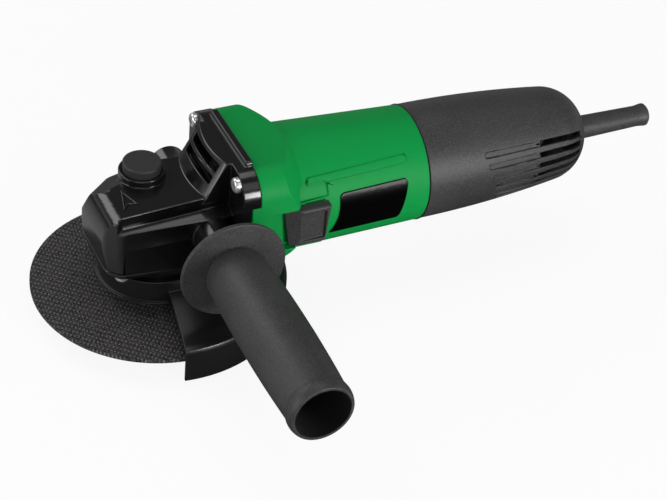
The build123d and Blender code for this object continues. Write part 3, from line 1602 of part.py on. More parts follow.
def all_nodes():
    makers = [gear_housing, bearing_retainer, retainer_screws, housing_screws]
    makers += [lock_button, lock_pin, lock_pin_clip, lock_spring]
    makers += [spindle, bevel_gear, gear_circlip, spindle_spacer, spindle_bush, bearing_circlip]
    makers += [inner_flange, cutting_disc, disc_bore_ring, clamp_nut]
    makers += [guard, guard_clamp_screw, guard_clamp_nut]
    makers += [motor_housing, name_plate, fan_baffle, fan]
    makers += [armature_shaft, armature_core, armature_windings, commutator, pinion, pinion_nut]
    makers += [front_bearing_plate, bearing_plate_screws, stator_core, stator_coils, stator_screws]
    makers += [brush_holders, brushes, brush_springs, rear_cover, rear_cover_screw]
    makers += [switch_body, switch_slider, switch_rod, switch_lever]
    makers += [cord_guard, cord_clamp, cord_clamp_screws, handle_grip, handle_stud]
    nodes = {make.__name__: make() for make in makers}
    front_size = (front_bearing_bore, front_bearing_outer, front_bearing_width)
    rear_size = (rear_bearing_bore, rear_bearing_outer, rear_bearing_width)
    bearings = {"spindle_bearing": bearing_on_spindle()}
    bearings["front_bearing"] = bearing_on_shaft(front_bearing_front, *front_size)
    bearings["rear_bearing"] = bearing_on_shaft(rear_bearing_front, *rear_size)
    for name, (outer, inner, balls) in bearings.items():
        nodes[name + "_outer"] = outer
        nodes[name + "_inner"] = inner
        nodes[name + "_balls"] = balls
    return nodes


os.makedirs("parts", exist_ok=True)
for name, shape in all_nodes().items():
    export_step(shape, f"parts/{name}.step")
    print(name, round(shape.volume, 1))
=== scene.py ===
import json
import math

import bmesh
import bpy
from mathutils import Matrix, Vector


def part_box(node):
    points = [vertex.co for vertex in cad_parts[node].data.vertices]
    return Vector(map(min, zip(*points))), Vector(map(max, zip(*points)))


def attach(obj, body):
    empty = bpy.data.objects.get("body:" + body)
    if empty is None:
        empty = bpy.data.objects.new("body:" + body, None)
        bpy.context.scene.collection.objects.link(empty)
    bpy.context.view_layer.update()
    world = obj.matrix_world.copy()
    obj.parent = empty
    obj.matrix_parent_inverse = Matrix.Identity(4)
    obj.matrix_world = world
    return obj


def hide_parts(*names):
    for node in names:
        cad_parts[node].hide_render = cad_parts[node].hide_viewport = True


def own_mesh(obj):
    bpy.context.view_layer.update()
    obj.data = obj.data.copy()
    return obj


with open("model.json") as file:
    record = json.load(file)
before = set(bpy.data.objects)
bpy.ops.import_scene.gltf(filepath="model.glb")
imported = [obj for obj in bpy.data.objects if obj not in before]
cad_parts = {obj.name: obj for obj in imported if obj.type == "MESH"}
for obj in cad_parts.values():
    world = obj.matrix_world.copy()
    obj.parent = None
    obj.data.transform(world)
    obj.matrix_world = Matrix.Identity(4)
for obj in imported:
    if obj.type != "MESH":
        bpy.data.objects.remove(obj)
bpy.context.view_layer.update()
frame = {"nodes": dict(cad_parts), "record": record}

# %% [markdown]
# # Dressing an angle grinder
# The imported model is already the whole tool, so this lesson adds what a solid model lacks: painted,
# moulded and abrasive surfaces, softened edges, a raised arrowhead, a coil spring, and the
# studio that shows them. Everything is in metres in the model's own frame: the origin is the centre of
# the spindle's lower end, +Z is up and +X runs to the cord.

nodes = frame["nodes"]
MM = 0.001
print("nodes in the frame:", len(nodes))

# %% [markdown]
# ## Small helpers for shader nodes
# A finish is a net of small nodes, and the same few come back in every net: a noise, a mask that runs
# from one value to another, a product, a mix of two colours. They could be wired by hand each time, but
# that hides the idea of a finish behind its plugs. So each gets a function that makes the node, feeds it
# and hands back the socket that the next node reads.


# %% Making and feeding nodes
def set_up(thing, **settings):
    """A new node or modifier, given its settings."""
    for key, value in settings.items():
        setattr(thing, key, value)
    return thing


def add(tree, kind, **settings):
    """One node with its settings."""
    return set_up(tree.nodes.new(kind), **settings)


def feed(tree, node, values):
    """Give a node's inputs, by name or number, a socket to read or a plain value."""
    for label, value in values.items():
        if isinstance(value, bpy.types.NodeSocket):
            tree.links.new(value, node.inputs[label])
        else:
            node.inputs[label].default_value = value
    return node


print("node helpers:", [helper.__name__ for helper in (set_up, add, feed)])

# %% Masks, patterns and mixes
# A Mix node has sockets A, B and Result for each kind of data; these are the numbers of the colour ones.
COLOUR_A, COLOUR_B, COLOUR_RESULT = 6, 7, 2


def ramp(tree, value, low, high, low_value=0.0, high_value=1.0):
    """Mask that runs from one span to another and is held at its ends."""
    node = feed(tree, add(tree, "ShaderNodeMapRange"),
                {"Value": value, "From Min": low, "From Max": high,
                 "To Min": low_value, "To Max": high_value})
    return node.outputs["Result"]


def noise(tree, place, scale, detail, roughness=0.5):
    """Cloudy pattern, with its scale in clouds per metre."""
    node = feed(tree, add(tree, "ShaderNodeTexNoise"),
                {"Vector": place, "Scale": scale, "Detail": detail, "Roughness": roughness})
    return node.outputs["Fac"]


def combine(tree, operation, first, second):
    """Two values multiplied, subtracted or compared."""
    node = add(tree, "ShaderNodeMath", operation=operation)
    return feed(tree, node, {0: first, 1: second}).outputs[0]


def mixed(tree, factor, first, second):
    """Colour between two others, each a socket or a plain colour."""
    node = feed(tree, add(tree, "ShaderNodeMix", data_type="RGBA"),
                {"Factor": factor, COLOUR_A: first, COLOUR_B: second})
    return node.outputs[COLOUR_RESULT]


def bumped(tree, heights, rise, strength):
    """Normal that follows a pattern of heights."""
    node = feed(tree, add(tree, "ShaderNodeBump"),
                {"Height": heights, "Distance": rise, "Strength": strength})
    return node.outputs["Normal"]


print("finish helpers:", [helper.__name__ for helper in (ramp, noise, combine, mixed, bumped)])

# %% [markdown]
# ## A grain that every moulded or painted skin shares
# No skin on the real tool is one flat tone: a mould leaves a fine grain on plastic, and paint dries with
# a slight drift in tone and gloss. A picture of a grain could be wrapped round each part, but it has
# seams and one fixed size. So one shader group works the grain out from the place on the part: a coarse
# drift of tone, a fine fleck, a roughness that wanders with the drift, and a bump that follows the fleck.
# Each material sets its own colours, grain size and depth.

# %% The skin group
SOCKET_KINDS = {"float": "NodeSocketFloat", "color": "NodeSocketColor", "vector": "NodeSocketVector"}
SKIN_INPUTS = {"Base": "color", "Fleck": "color", "Grain Scale": "float", "Fleck Amount": "float",
               "Rough Low": "float", "Rough High": "float", "Depth": "float"}
SKIN_OUTPUTS = {"Color": "color", "Roughness": "float", "Normal": "vector"}
NOISE_DETAIL = 3.0
DRIFT_SCALE = 34.0
DRIFT_SPAN = (0.35, 0.65)
DRIFT_AMOUNT = 0.16
FINE_ROUGHNESS = 0.6
FLECK_SPAN = (0.45, 0.68)
GRAIN_RISE = 0.1 * MM


def new_group(name, inputs, outputs):
    """Empty shader group with its sockets, and its two end nodes."""
    tree = bpy.data.node_groups.new(name, "ShaderNodeTree")
    for side, sockets in (("INPUT", inputs), ("OUTPUT", outputs)):
        for label, kind in sockets.items():
            tree.interface.new_socket(label, in_out=side, socket_type=SOCKET_KINDS[kind])
    return tree, tree.nodes.new("NodeGroupInput"), tree.nodes.new("NodeGroupOutput")


def make_skin():
    """Group that turns a few values into a colour, a roughness and a normal."""
    tree, start, end = new_group("skin_grain", SKIN_INPUTS, SKIN_OUTPUTS)
    given = start.outputs
    place = add(tree, "ShaderNodeTexCoord").outputs["Object"]
    drift = noise(tree, place, DRIFT_SCALE, NOISE_DETAIL)
    fine = noise(tree, place, given["Grain Scale"], NOISE_DETAIL, FINE_ROUGHNESS)
    flecks = combine(tree, "MULTIPLY", ramp(tree, fine, *FLECK_SPAN), given["Fleck Amount"])
    flecked = mixed(tree, flecks, given["Base"], given["Fleck"])
    tone = ramp(tree, drift, *DRIFT_SPAN, 0.0, DRIFT_AMOUNT)
    feed(tree, end, {"Color": mixed(tree, tone, flecked, given["Fleck"]),
                     "Roughness": ramp(tree, drift, 0.0, 1.0, given["Rough Low"], given["Rough High"]),
                     "Normal": bumped(tree, fine, GRAIN_RISE, given["Depth"])})
    return tree


skin = make_skin()
print("skin group sockets:", len(skin.interface.items_tree))


# %% Materials that wear the skin
def new_material(name):
    """Fresh material, with its node tree and its shader."""
    material = bpy.data.materials.new(name)
    material.use_nodes = True
    return material, material.node_tree, material.node_tree.nodes["Principled BSDF"]


def skin_material(name, base, fleck, grain, amount, rough, depth, metallic=0.0, specular=0.5):
    """Material whose colour, roughness and bump come from the skin group; the grain is in millimetres."""
    material, tree, shader = new_material(name)
    group = feed(tree, add(tree, "ShaderNodeGroup", node_tree=skin),
                 {"Base": (*base, 1), "Fleck": (*fleck, 1), "Grain Scale": 1 / (grain * MM),
                  "Fleck Amount": amount, "Rough Low": rough[0], "Rough High": rough[1], "Depth": depth})
    feed(tree, shader, {"Base Color": group.outputs["Color"], "Roughness": group.outputs["Roughness"],
                        "Normal": group.outputs["Normal"], "Metallic": metallic,
                        "Specular IOR Level": specular})
    return material


print("material helpers:", [helper.__name__ for helper in (new_material, skin_material)])

# %% [markdown]
# ## Paints
# The gear housing is an aluminium casting under glossy black paint, and the guard is pressed steel under
# a duller coat. A clear layer over rough metal could give that too, but it takes more values to balance.
# A nearly black skin with a low roughness looks the same, and its shallow grain keeps the reflections soft.

# %% Painted skins
casting = skin_material("black_casting_paint", base=(0.0045, 0.0045, 0.0052), fleck=(0.009, 0.009, 0.01),
                        grain=0.9, amount=0.25, rough=(0.14, 0.22), depth=0.06)
guard_paint = skin_material("black_guard_paint", base=(0.005, 0.005, 0.0055), fleck=(0.01, 0.01, 0.011),
                            grain=0.7, amount=0.25, rough=(0.26, 0.36), depth=0.1)
print("paints:", [paint.name for paint in (casting, guard_paint)])

# %% [markdown]
# ## Plastics
# The green barrel is a smooth satin moulding, while the tail, the switch knob and the handle are a warm
# grey with a coarse grain whose flecks catch the light. The lock button and the inner mouldings are plain
# black, and the name plate is glossy and bare. Each could be built from its own nodes, but as one skin with
# other numbers a better grain reaches them all. A low specular level keeps the green and the plate deep.

# %% Moulded skins
green = skin_material("green_moulded_plastic", base=(0.0006, 0.232, 0.043), fleck=(0.002, 0.262, 0.054),
                      grain=0.5, amount=0.25, rough=(0.46, 0.58), depth=0.1, specular=0.12)
grey = skin_material("grey_moulded_plastic", base=(0.0225, 0.0212, 0.0221), fleck=(0.08, 0.0755, 0.078),
                     grain=0.7, amount=0.58, rough=(0.42, 0.56), depth=1.0, specular=0.4)
black_plastic = skin_material("black_moulded_plastic", base=(0.012, 0.0115, 0.0115),
                              fleck=(0.024, 0.023, 0.023), grain=0.5, amount=0.4, rough=(0.5, 0.62),
                              depth=0.35)
plate_gloss = skin_material("gloss_black_plate", base=(0.0008, 0.0008, 0.001),
                            fleck=(0.0016, 0.0016, 0.0018), grain=1.4, amount=0.2, rough=(0.14, 0.2),
                            depth=0.02, specular=0.1)
print("plastics:", [plastic.name for plastic in (green, grey, black_plastic, plate_gloss)])

# %% [markdown]
# ## Bare metals and carbon
# Shafts are turned steel, bearing rings are polished, screws are zinc plated, windings are lacquered
# copper, the bush is sintered bronze and the brushes are pressed carbon. Most of them hide inside, where
# one grey metal could do, but the covers come off when the parts are looked at one by one. The plating is
# a little less than fully metallic, because zinc has a milky film.

# %% Metal skins
steel = skin_material("turned_steel", base=(0.5, 0.5, 0.51), fleck=(0.62, 0.62, 0.63), grain=0.25,
                      amount=0.5, rough=(0.26, 0.42), depth=0.08, metallic=1.0)
polished = skin_material("polished_bearing_steel", base=(0.62, 0.62, 0.63), fleck=(0.72, 0.72, 0.72),
                         grain=0.3, amount=0.3, rough=(0.12, 0.2), depth=0.02, metallic=1.0)
zinc = skin_material("zinc_plated_screws", base=(0.66, 0.67, 0.68), fleck=(0.8, 0.8, 0.79), grain=0.4,
                     amount=0.4, rough=(0.2, 0.3), depth=0.05, metallic=0.8)
copper = skin_material("lacquered_copper", base=(0.62, 0.24, 0.1), fleck=(0.74, 0.36, 0.18), grain=0.45,
                       amount=0.6, rough=(0.25, 0.4), depth=0.3, metallic=1.0)
bronze = skin_material("sintered_bronze", base=(0.5, 0.34, 0.16), fleck=(0.62, 0.44, 0.22), grain=0.35,
                       amount=0.6, rough=(0.4, 0.55), depth=0.3, metallic=1.0)
carbon = skin_material("pressed_carbon", base=(0.02, 0.02, 0.021), fleck=(0.06, 0.06, 0.062), grain=0.3,
                       amount=0.5, rough=(0.5, 0.7), depth=0.4)
print("metals and carbon:", [metal.name for metal in (steel, polished, zinc, copper, bronze, carbon)])

# %% [markdown]
# ## The handle's open end
# The grip is moulded round a core pin, which leaves a long, deep bore. Little light gets into it, so its
# shade is painted: the bore's colour is nearly black and matte. The bore could have a material slot of its
# own, but the grip is one node whose mesh stays as it is. So its material finds the bore by the distance
# from the handle's axis, which runs along Y, level with the barrel's axis.

# %% Grip material
AXIS_Z = 54 * MM
HANDLE_X = 19.1 * MM
BORE_RADIUS = 13.4 * MM
BORE_FADE = (0.1 * MM, 0.5 * MM)
# The next colour is painted shade: the deep bore gets little light.
BORE_PAINTED_SHADE = (0.0012, 0.0012, 0.0013, 1)
GRIP_BASE = (0.018, 0.017, 0.0177, 1)
GRIP_FLECK = (0.072, 0.068, 0.0705, 1)


def split(tree, place):
    """The coordinates of a place, as sockets X, Y and Z."""
    return feed(tree, add(tree, "ShaderNodeSeparateXYZ"), {"Vector": place}).outputs


def distance(tree, place, point):
    """How far a place is from a point."""
    node = add(tree, "ShaderNodeVectorMath", operation="DISTANCE")
    return feed(tree, node, {0: place, 1: point}).outputs["Value"]


def make_grip():
    """Copy of the grey plastic, a little darker, with painted shade in its bore: nearly black and matte."""
    material = grey.copy()
    material.name = "grey_grip_with_painted_bore_shade"
    tree = material.node_tree
    shader = tree.nodes["Principled BSDF"]
    group = shader.inputs["Base Color"].links[0].from_node
    feed(tree, group, {"Base": GRIP_BASE, "Fleck": GRIP_FLECK})
    place = split(tree, add(tree, "ShaderNodeTexCoord").outputs["Object"])
    across = feed(tree, add(tree, "ShaderNodeCombineXYZ"), {"X": place["X"], "Z": place["Z"]})
    radius = distance(tree, across.outputs["Vector"], (HANDLE_X, 0, AXIS_Z))
    # Painted shade: inside the bore the colour turns nearly black and the skin turns matte.
    painted_bore_shade = ramp(tree, radius, BORE_RADIUS + BORE_FADE[0], BORE_RADIUS + BORE_FADE[1], 1.0, 0.0)
    feed(tree, shader, {"Base Color": mixed(tree, painted_bore_shade, group.outputs["Color"], BORE_PAINTED_SHADE),
                        "Roughness": combine(tree, "MAXIMUM", group.outputs["Roughness"], painted_bore_shade)})
    return material


grip = make_grip()
print("grip material nodes:", len(grip.node_tree.nodes))

# %% [markdown]
# ## The cutting disc's net
# A cutting disc is resin and grit pressed on a glass-fibre net, which shows as rows of small knots that
# run two ways. The knots could be modelled, but they are flat and there are thousands of them. Two sets of
# bands multiplied by each other are bright only where the rows cross, and that is a mask of knots.

# %% Mask of knots
NET_TURN = math.radians(42)
NET_ROWS = (("X", 2.0 * MM), ("Y", 2.9 * MM))
BAND_LENGTH = 0.314  # of one band in a wave texture at a scale of 1
ROW_WANDER = 0.5
ROW_DETAIL = 2.0
KNOT_SPAN = (0.5, 0.92)
NET_AMOUNT = 0.7


def knot_mask(tree, place):
    """Where the net's knots come through the resin."""
    turn = feed(tree, add(tree, "ShaderNodeMapping"), {"Vector": place, "Rotation": (0, 0, NET_TURN)})
    rows = []
    for direction, pitch in NET_ROWS:
        wave = add(tree, "ShaderNodeTexWave", wave_type="BANDS", bands_direction=direction)
        feed(tree, wave, {"Vector": turn.outputs["Vector"], "Scale": BAND_LENGTH / pitch,
                          "Distortion": ROW_WANDER, "Detail Scale": ROW_DETAIL})
        rows.append(wave.outputs["Fac"])
    return ramp(tree, combine(tree, "MULTIPLY", *rows), *KNOT_SPAN, 0.0, NET_AMOUNT)


print("net rows every", [round(pitch / MM, 1) for direction, pitch in NET_ROWS], "mm")

# %% [markdown]
# ## The cutting disc's grit
# Between the knots lie grains of grit, some dark and some paler, with resin in the gaps. A few crystals
# get a painted glint: a pale colour where light would catch them, with a lower roughness. Noise would give
# soft clouds here. A Voronoi texture gives cells with an edge, and each cell's random colour says how pale
# its grain is and whether it gets the painted glint.

# %% Disc material
GRIT_SIZE = 0.65 * MM
GAP_SPAN = (0.3, 0.62)
PAINTED_GLINT_CHANCE = (0.9, 0.94)
CRYSTAL_SPAN = (0.12, 0.28)
DARK_GRAIN = (0.04, 0.037, 0.037, 1)
PALE_GRAIN = (0.085, 0.079, 0.08, 1)
RESIN = (0.006, 0.0055, 0.005, 1)
GLASS_NET = (0.19, 0.18, 0.175, 1)
# The next colour is a painted highlight: a glint painted on a few crystals.
PAINTED_GLINT = (0.3, 0.29, 0.27, 1)
RESIN_ROUGH, GLINT_ROUGH = 0.7, 0.3
DISC_SPECULAR = 0.3
GRIT_RISE = 0.3 * MM
GRIT_STRENGTH = 0.6


def make_disc():
    """Resin, grit, net and painted glints, with a bump from the net and the grit."""
    material, tree, shader = new_material("gritty_fibre_disc")
    place = add(tree, "ShaderNodeTexCoord").outputs["Object"]
    grit = feed(tree, add(tree, "ShaderNodeTexVoronoi", feature="F1"),
                {"Vector": place, "Scale": 1 / GRIT_SIZE})
    from_middle = grit.outputs["Distance"]
    chance = feed(tree, add(tree, "ShaderNodeSeparateColor"), {"Color": grit.outputs["Color"]}).outputs
    grains = mixed(tree, chance["Green"], DARK_GRAIN, PALE_GRAIN)
    resin = mixed(tree, ramp(tree, from_middle, *GAP_SPAN), grains, RESIN)
    net = knot_mask(tree, place)
    netted = mixed(tree, net, resin, GLASS_NET)
    cells_with_painted_glint = ramp(tree, chance["Red"], *PAINTED_GLINT_CHANCE)
    # Painted highlight: a few random cells get a pale colour where light would glint on a crystal.
    crystals_with_painted_glint = combine(tree, "MULTIPLY", cells_with_painted_glint, ramp(tree, from_middle, *CRYSTAL_SPAN, 1.0, 0.0))
    heights = combine(tree, "SUBTRACT", net, from_middle)
    feed(tree, shader, {"Base Color": mixed(tree, crystals_with_painted_glint, netted, PAINTED_GLINT),
                        "Roughness": ramp(tree, crystals_with_painted_glint, 0.0, 1.0, RESIN_ROUGH, GLINT_ROUGH),
                        "Specular IOR Level": DISC_SPECULAR,
                        "Normal": bumped(tree, heights, GRIT_RISE, GRIT_STRENGTH)})
    return material


disc_material = make_disc()
print("disc material nodes:", len(disc_material.node_tree.nodes))

# %% [markdown]
# ## Giving every node its material
# A list of nodes and materials would be long, and easy to forget when a node is added. The record's slots
# already sort the nodes by what they are made of, so each slot gets one material. Only the grip has its own.

# %% Materials by slot
by_slot = {"black_casting": casting, "green_plastic": green, "grey_plastic": grey,
           "black_plastic": black_plastic, "gloss_black": plate_gloss, "guard_paint": guard_paint,
           "disc_abrasive": disc_material, "plain_steel": steel, "bearing_steel": polished,
           "bright_screws": zinc, "copper": copper, "bush_bronze": bronze, "carbon": carbon}
for part in frame["record"]["subparts"]:
    node = nodes[part["node"]]
    node.data.materials.clear()
    node.data.materials.append(grip if part["node"] == "handle_grip" else by_slot[part["material_slot"]])

# %% [markdown]
# ## Softer edges on the cast and moulded nodes
# No casting or moulding has a knife edge, and the thin rounded bands are what catches the light. Fillets in
# the solid model could do it, but on so many edges they are slow. A node's mesh is loose triangles, so four
# modifiers work in turn: Weld joins the corners, Decimate dissolves flat triangles into whole faces, Bevel
# rounds the edges sharper than an angle, and Weighted Normal keeps the wide faces flat.

# %% Bevels
EDGE_WIDTHS = {"gear_housing": 0.6 * MM, "bearing_retainer": 0.5 * MM, "motor_housing": 0.5 * MM,
               "rear_cover": 0.4 * MM, "switch_slider": 0.4 * MM, "guard": 0.35 * MM,
               "name_plate": 0.2 * MM, "lock_button": 0.3 * MM, "handle_grip": 0.4 * MM}
SAME_CORNER = 0.002 * MM
FLAT_ANGLE = math.radians(0.5)
SHARP_ANGLE = math.radians(32)
FACE_WEIGHT = 50
for name, width in EDGE_WIDTHS.items():
    stack = nodes[name].modifiers
    set_up(stack.new("joined_corners", "WELD"), merge_threshold=SAME_CORNER)
    set_up(stack.new("whole_faces", "DECIMATE"), decimate_type="DISSOLVE", angle_limit=FLAT_ANGLE)
    set_up(stack.new("soft_edge", "BEVEL"), width=width, segments=3, limit_method="ANGLE",
           angle_limit=SHARP_ANGLE, use_clamp_overlap=False)
    set_up(stack.new("flat_faces", "WEIGHTED_NORMAL"), weight=FACE_WEIGHT)
print("bevelled nodes:", sorted(EDGE_WIDTHS))

# %% [markdown]
# ## A raised arrowhead
# The casting's deck carries a raised hollow arrowhead that shows which way the disc turns. A flat shape with
# a bump would vanish from the side, so it is modelled: one face of four corners is inset to a ring, its
# middle is dropped, the ring is extruded, and its top edges are bevelled.


# %% From a bmesh to a piece
def finish_piece(mesh, name, material, body, slot):
    """Object from a finished bmesh, dressed and riding a body."""
    bmesh.ops.recalc_face_normals(mesh, faces=mesh.faces)
    data = bpy.data.meshes.new(name)
    mesh.to_mesh(data)
    mesh.free()
    data.materials.append(material)
    piece = bpy.data.objects.new(name, data)
    bpy.context.collection.objects.link(piece)
    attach(piece, body)
    print(name, "faces:", len(data.polygons))
    return piece


def raise_ring(mesh, outline, width, height, bevel):
    """Turn one flat face into a ring raised along the face's normal, with softened top edges."""
    normal = outline.normal.copy()
    bmesh.ops.inset_region(mesh, faces=[outline], thickness=width, use_boundary=True, use_even_offset=True)
    bmesh.ops.delete(mesh, geom=[outline], context="FACES_ONLY")
    lifted = bmesh.ops.extrude_face_region(mesh, geom=mesh.faces[:])["geom"]
    top = [g for g in lifted if isinstance(g, bmesh.types.BMVert)]
    bmesh.ops.translate(mesh, verts=top, vec=normal * height)
    caps = {g for g in lifted if isinstance(g, bmesh.types.BMFace)}
    rims = [e for e in mesh.edges if len(caps.intersection(e.link_faces)) == 1]
    bmesh.ops.bevel(mesh, geom=rims, offset=bevel, segments=2, profile=0.5, affect="EDGES", material=-1)


print("piece helpers:", [helper.__name__ for helper in (finish_piece, raise_ring)])

# %% Arrowhead on the deck
ARROW_CORNERS = ((-19.0, 0.3), (-23.0, -15.8), (-19.1, -11.6), (-14.3, -12.9))
DECK_RISE = 18 * MM
MARK_SUNK = 0.2 * MM
MARK_WIDTH = 1.0 * MM
MARK_HEIGHT = 0.9 * MM
MARK_BEVEL = 0.3 * MM
foot = AXIS_Z + DECK_RISE - MARK_SUNK
mark = bmesh.new()
arrowhead = mark.faces.new([mark.verts.new((x * MM, y * MM, foot)) for x, y in ARROW_CORNERS])
arrowhead.normal_update()
raise_ring(mark, arrowhead, MARK_WIDTH, MARK_HEIGHT, MARK_BEVEL)
finish_piece(mark, "turn_mark", casting, "grinder_body", "black_casting")

# %% [markdown]
# ## The lock button's return spring
# The real spring is wire wound on a mandrel, and it shortens when the button goes down. A curve with a round
# bevel could be the wire, but a spin with a climb winds it as the mandrel does: a small circle is spun three
# turns while it rises, and its two ends are closed. The circle starts on edge, square to the winding.

# %% Coil spring
COIL_TURNS = 3
COIL_STEPS = 72
WIRE = 0.7 * MM
WIRE_SIDES = 10
seat, crown = (Vector(corner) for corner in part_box("lock_spring"))
coil_axis = (seat + crown) / 2
coil_radius = (crown.x - seat.x - WIRE) / 2
climb = crown.z - seat.z - WIRE
wire_start = Matrix.Translation((coil_axis.x + coil_radius, coil_axis.y, seat.z + WIRE / 2))
on_edge = Matrix.Rotation(math.pi / 2, 4, "X")
coil = bmesh.new()
bmesh.ops.create_circle(coil, radius=WIRE / 2, segments=WIRE_SIDES, matrix=wire_start @ on_edge)
bmesh.ops.spin(coil, geom=coil.verts[:] + coil.edges[:], cent=coil_axis, axis=(0, 0, 1),
               dvec=(0, 0, climb / COIL_STEPS), angle=2 * math.pi * COIL_TURNS, steps=COIL_STEPS)
bmesh.ops.holes_fill(coil, edges=[e for e in coil.edges if e.is_boundary])
spring = finish_piece(coil, "lock_coil", steel, "grinder_body", "plain_steel")
for face in spring.data.polygons:
    face.use_smooth = True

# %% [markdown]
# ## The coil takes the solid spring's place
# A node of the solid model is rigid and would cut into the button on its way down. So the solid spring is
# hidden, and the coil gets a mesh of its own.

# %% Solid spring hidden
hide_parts("lock_spring")
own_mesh(spring)

# %% [markdown]
# ## The floor
# The tool lies on white paper without an edge in sight. A curved backdrop could do that, but in a white room
# a wide flat sheet shows no end either when the camera looks down on it. It lies just under the spindle.

# %% Sheet
FLOOR_REACH = 6.0
FLOOR_CELLS = 8
FLOOR_DROP = 0.5 * MM
sheet = bmesh.new()
bmesh.ops.create_grid(sheet, x_segments=FLOOR_CELLS, y_segments=FLOOR_CELLS, size=FLOOR_REACH)
bmesh.ops.translate(sheet, verts=sheet.verts[:], vec=(0, 0, -FLOOR_DROP))
floor_data = bpy.data.meshes.new("studio_floor")
sheet.to_mesh(floor_data)
sheet.free()
floor = bpy.data.objects.new("studio_floor", floor_data)
bpy.context.collection.objects.link(floor)
print("floor at", round(floor_data.vertices[0].co.z / MM, 2), "mm")

# %% [markdown]
# ## White paper under a plain light
# More lamps could make the paper white, but they would wash out the black casting too. Light Path tells
# the rays apart instead. The camera sees mostly a plain white, with a share of the real paper left in it,
# so that the tool's shadow shows. Glossy rays see a paper that is dark close to the tool, where the tool
# shades it, and pale further out in front, which keeps the black paint black low down.


# %% Helpers for light and rays
def lit(tree, node, colour, strength):
    """Shader of a node that gives light, with its colour and strength."""
    return feed(tree, node, {"Color": colour, "Strength": strength}).outputs[0]


def by_ray(tree, ray, otherwise, seen):
    """One shader for the rays of a kind, and another for the rest."""
    node = add(tree, "ShaderNodeMixShader")
    return feed(tree, node, {"Fac": ray, 1: otherwise, 2: seen}).outputs["Shader"]


WHITE = (1, 1, 1, 1)
print("light helpers:", [helper.__name__ for helper in (lit, by_ray)])

# %% Paper
PAPER = (0.82, 0.82, 0.82, 1)
PAPER_ROUGH = 0.9
WHITE_SHARE = 0.9
SHADE_MIDDLE = (0.2, -0.1, 0.0)
SHADE_SPAN = (0.2, 0.34)
SHADE_STRENGTHS = (0.03, 0.62)
REAR_SPAN = (-0.05, 0.3)
REAR_FADE = (1.0, 0.2)
paper_material, paper, paper_shader = new_material("white_paper")
feed(paper, paper_shader, {"Base Color": PAPER, "Roughness": PAPER_ROUGH})
spot = add(paper, "ShaderNodeTexCoord").outputs["Object"]
outwards = ramp(paper, distance(paper, spot, SHADE_MIDDLE), *SHADE_SPAN, *SHADE_STRENGTHS)
rearwards = ramp(paper, split(paper, spot)["Y"], *REAR_SPAN, *REAR_FADE)
shade = combine(paper, "MULTIPLY", outwards, rearwards)
white = lit(paper, add(paper, "ShaderNodeEmission"), WHITE, 1.0)
mirrored = lit(paper, add(paper, "ShaderNodeEmission"), WHITE, shade)
rays = add(paper, "ShaderNodeLightPath").outputs
mostly = combine(paper, "MULTIPLY", rays["Is Camera Ray"], WHITE_SHARE)
looked_at = by_ray(paper, mostly, paper_shader.outputs["BSDF"], white)
surface = by_ray(paper, rays["Is Glossy Ray"], looked_at, mirrored)
feed(paper, paper.nodes["Material Output"], {"Surface": surface})
floor_data.materials.append(paper_material)
print("paper nodes:", len(paper.nodes))

# %% [markdown]
# ## The room
# A white tent stands round the tool in such a picture. One even white world could be the tent, but it would
# turn every black face grey. So the camera sees white, the light on the tool is a weak cool one, and the
# room that paint mirrors is pale near the horizon and dim overhead.

# %% World
ROOM_TINT = (0.96, 0.98, 1.0, 1)
ROOM_STRENGTH = 0.3
DIM_SPAN = (0.02, 0.3)
DIM_STRENGTHS = (0.7, 0.14)
world = bpy.data.worlds.new("studio_world")
bpy.context.scene.world = world
world.use_nodes = True
sky = world.node_tree
heading = split(sky, add(sky, "ShaderNodeTexCoord").outputs["Generated"])
dimmed = ramp(sky, heading["Z"], *DIM_SPAN, *DIM_STRENGTHS)
room = lit(sky, sky.nodes["Background"], ROOM_TINT, ROOM_STRENGTH)
mirrored_room = lit(sky, add(sky, "ShaderNodeBackground"), WHITE, dimmed)
white_wall = lit(sky, add(sky, "ShaderNodeBackground"), WHITE, 1.0)
sky_rays = add(sky, "ShaderNodeLightPath").outputs
around = by_ray(sky, sky_rays["Is Glossy Ray"], room, mirrored_room)
feed(sky, sky.nodes["World Output"], {"Surface": by_ray(sky, sky_rays["Is Camera Ray"], around, white_wall)})
print("world strength", ROOM_STRENGTH)

# %% [markdown]
# ## The lamps
# Black paint shows its shape by what it mirrors, so each lamp is a panel that draws one reflection: a broad
# key high behind on the left for the upper edges, a card at the left for the nose, a low panel in front for
# the barrel and the tail, and a narrow strip near the floor for the guard's skirt. Two weak panels in front
# and one overhead fill the rest. One strong lamp could light the tool too, but the black would stay flat.


# %% Lamps
def panel(name, place, aim, size, watts):
    """Rectangular area lamp at a place, facing a point."""
    lamp = set_up(bpy.data.lights.new(name, "AREA"), shape="RECTANGLE", energy=watts)
    lamp.size, lamp.size_y = size
    holder = bpy.data.objects.new(name, lamp)
    holder.location = place
    holder.rotation_euler = (Vector(aim) - Vector(place)).to_track_quat("-Z", "Y").to_euler()
    bpy.context.collection.objects.link(holder)


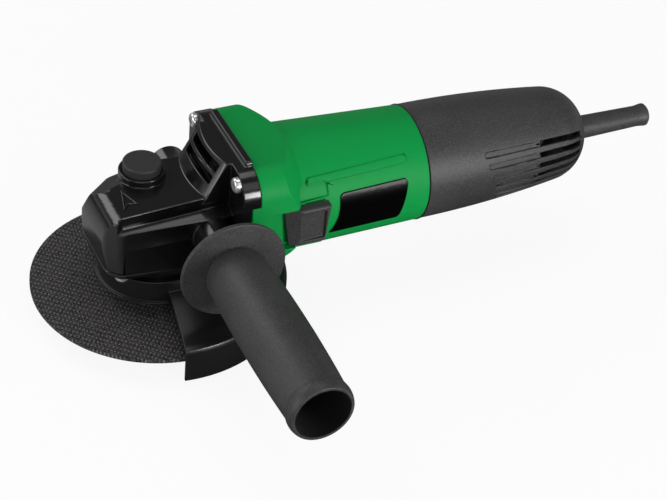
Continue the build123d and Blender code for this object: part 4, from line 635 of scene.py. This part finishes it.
TOOL_MIDDLE = (0.09, -0.02, 0.05)
BARREL_FLANK = (0.18, -0.03, 0.05)
panel("key_back", place=(-0.62, 1.0, 0.95), aim=TOOL_MIDDLE, size=(1.0, 0.7), watts=7)
panel("left_card", place=(-1.15, 0.05, 0.42), aim=TOOL_MIDDLE, size=(0.6, 0.5), watts=5)
panel("front_low", place=(0.55, -1.1, 0.24), aim=BARREL_FLANK, size=(0.34, 0.4), watts=9)
panel("skirt_card", place=(0.42, -1.2, 0.09), aim=TOOL_MIDDLE, size=(0.6, 0.14), watts=1.2)
panel("front_broad", place=(-0.55, -1.05, 0.3), aim=TOOL_MIDDLE, size=(0.8, 0.36), watts=2.5)
panel("front_fill", place=(0.2, -0.85, 0.9), aim=TOOL_MIDDLE, size=(0.8, 0.6), watts=1.5)
panel("overhead", place=(0.1, 0.15, 1.2), aim=TOOL_MIDDLE, size=(0.8, 0.5), watts=3)

# %% [markdown]
# ## The camera
# The photograph looks down on the tool from the nose's near side. A camera could be turned by hand until the
# picture looks right, but small errors in angle then hide in the distance. These angles, the distance, the
# lens and the aim were fitted together, to the disc's ellipse and the body's outline.

# %% Directions of the camera
AZIMUTH, ELEVATION, ROLL = (math.radians(angle) for angle in (-27.91, 38.65, 5.82))
back = Vector((math.sin(AZIMUTH) * math.cos(ELEVATION), -math.cos(AZIMUTH) * math.cos(ELEVATION),
               math.sin(ELEVATION)))
level = Vector((math.cos(AZIMUTH), math.sin(AZIMUTH), 0))
upright = back.cross(level)
right = math.cos(ROLL) * level + math.sin(ROLL) * upright
up = math.cos(ROLL) * upright - math.sin(ROLL) * level
print("camera looks along", [round(-v, 3) for v in back])

# %% Camera
PHOTO_WIDTH = 667
FOCAL_PIXELS = 1987.52
SENSOR_WIDTH = 36.0
CAMERA_DISTANCE = 1009.35 * MM
BARREL_MIDDLE = Vector((100 * MM, 0, AXIS_Z))
AIM_LEFT = 4.54 * MM
AIM_DOWN = 38.34 * MM
target = BARREL_MIDDLE - AIM_LEFT * right - AIM_DOWN * up
lens = bpy.data.cameras.new("photo_camera")
lens.sensor_width = SENSOR_WIDTH
lens.lens = SENSOR_WIDTH * FOCAL_PIXELS / PHOTO_WIDTH
camera = bpy.data.objects.new("photo_camera", lens)
turned = Matrix((right, up, back)).transposed().to_4x4()
camera.matrix_world = Matrix.Translation(target + CAMERA_DISTANCE * back) @ turned
bpy.context.collection.objects.link(camera)
bpy.context.scene.camera = camera
bpy.context.scene.view_settings.view_transform = "Standard"
print("camera at", [round(v, 3) for v in camera.matrix_world.translation])

# %% [markdown]
# ## The end

# %% The end
print("scene built")
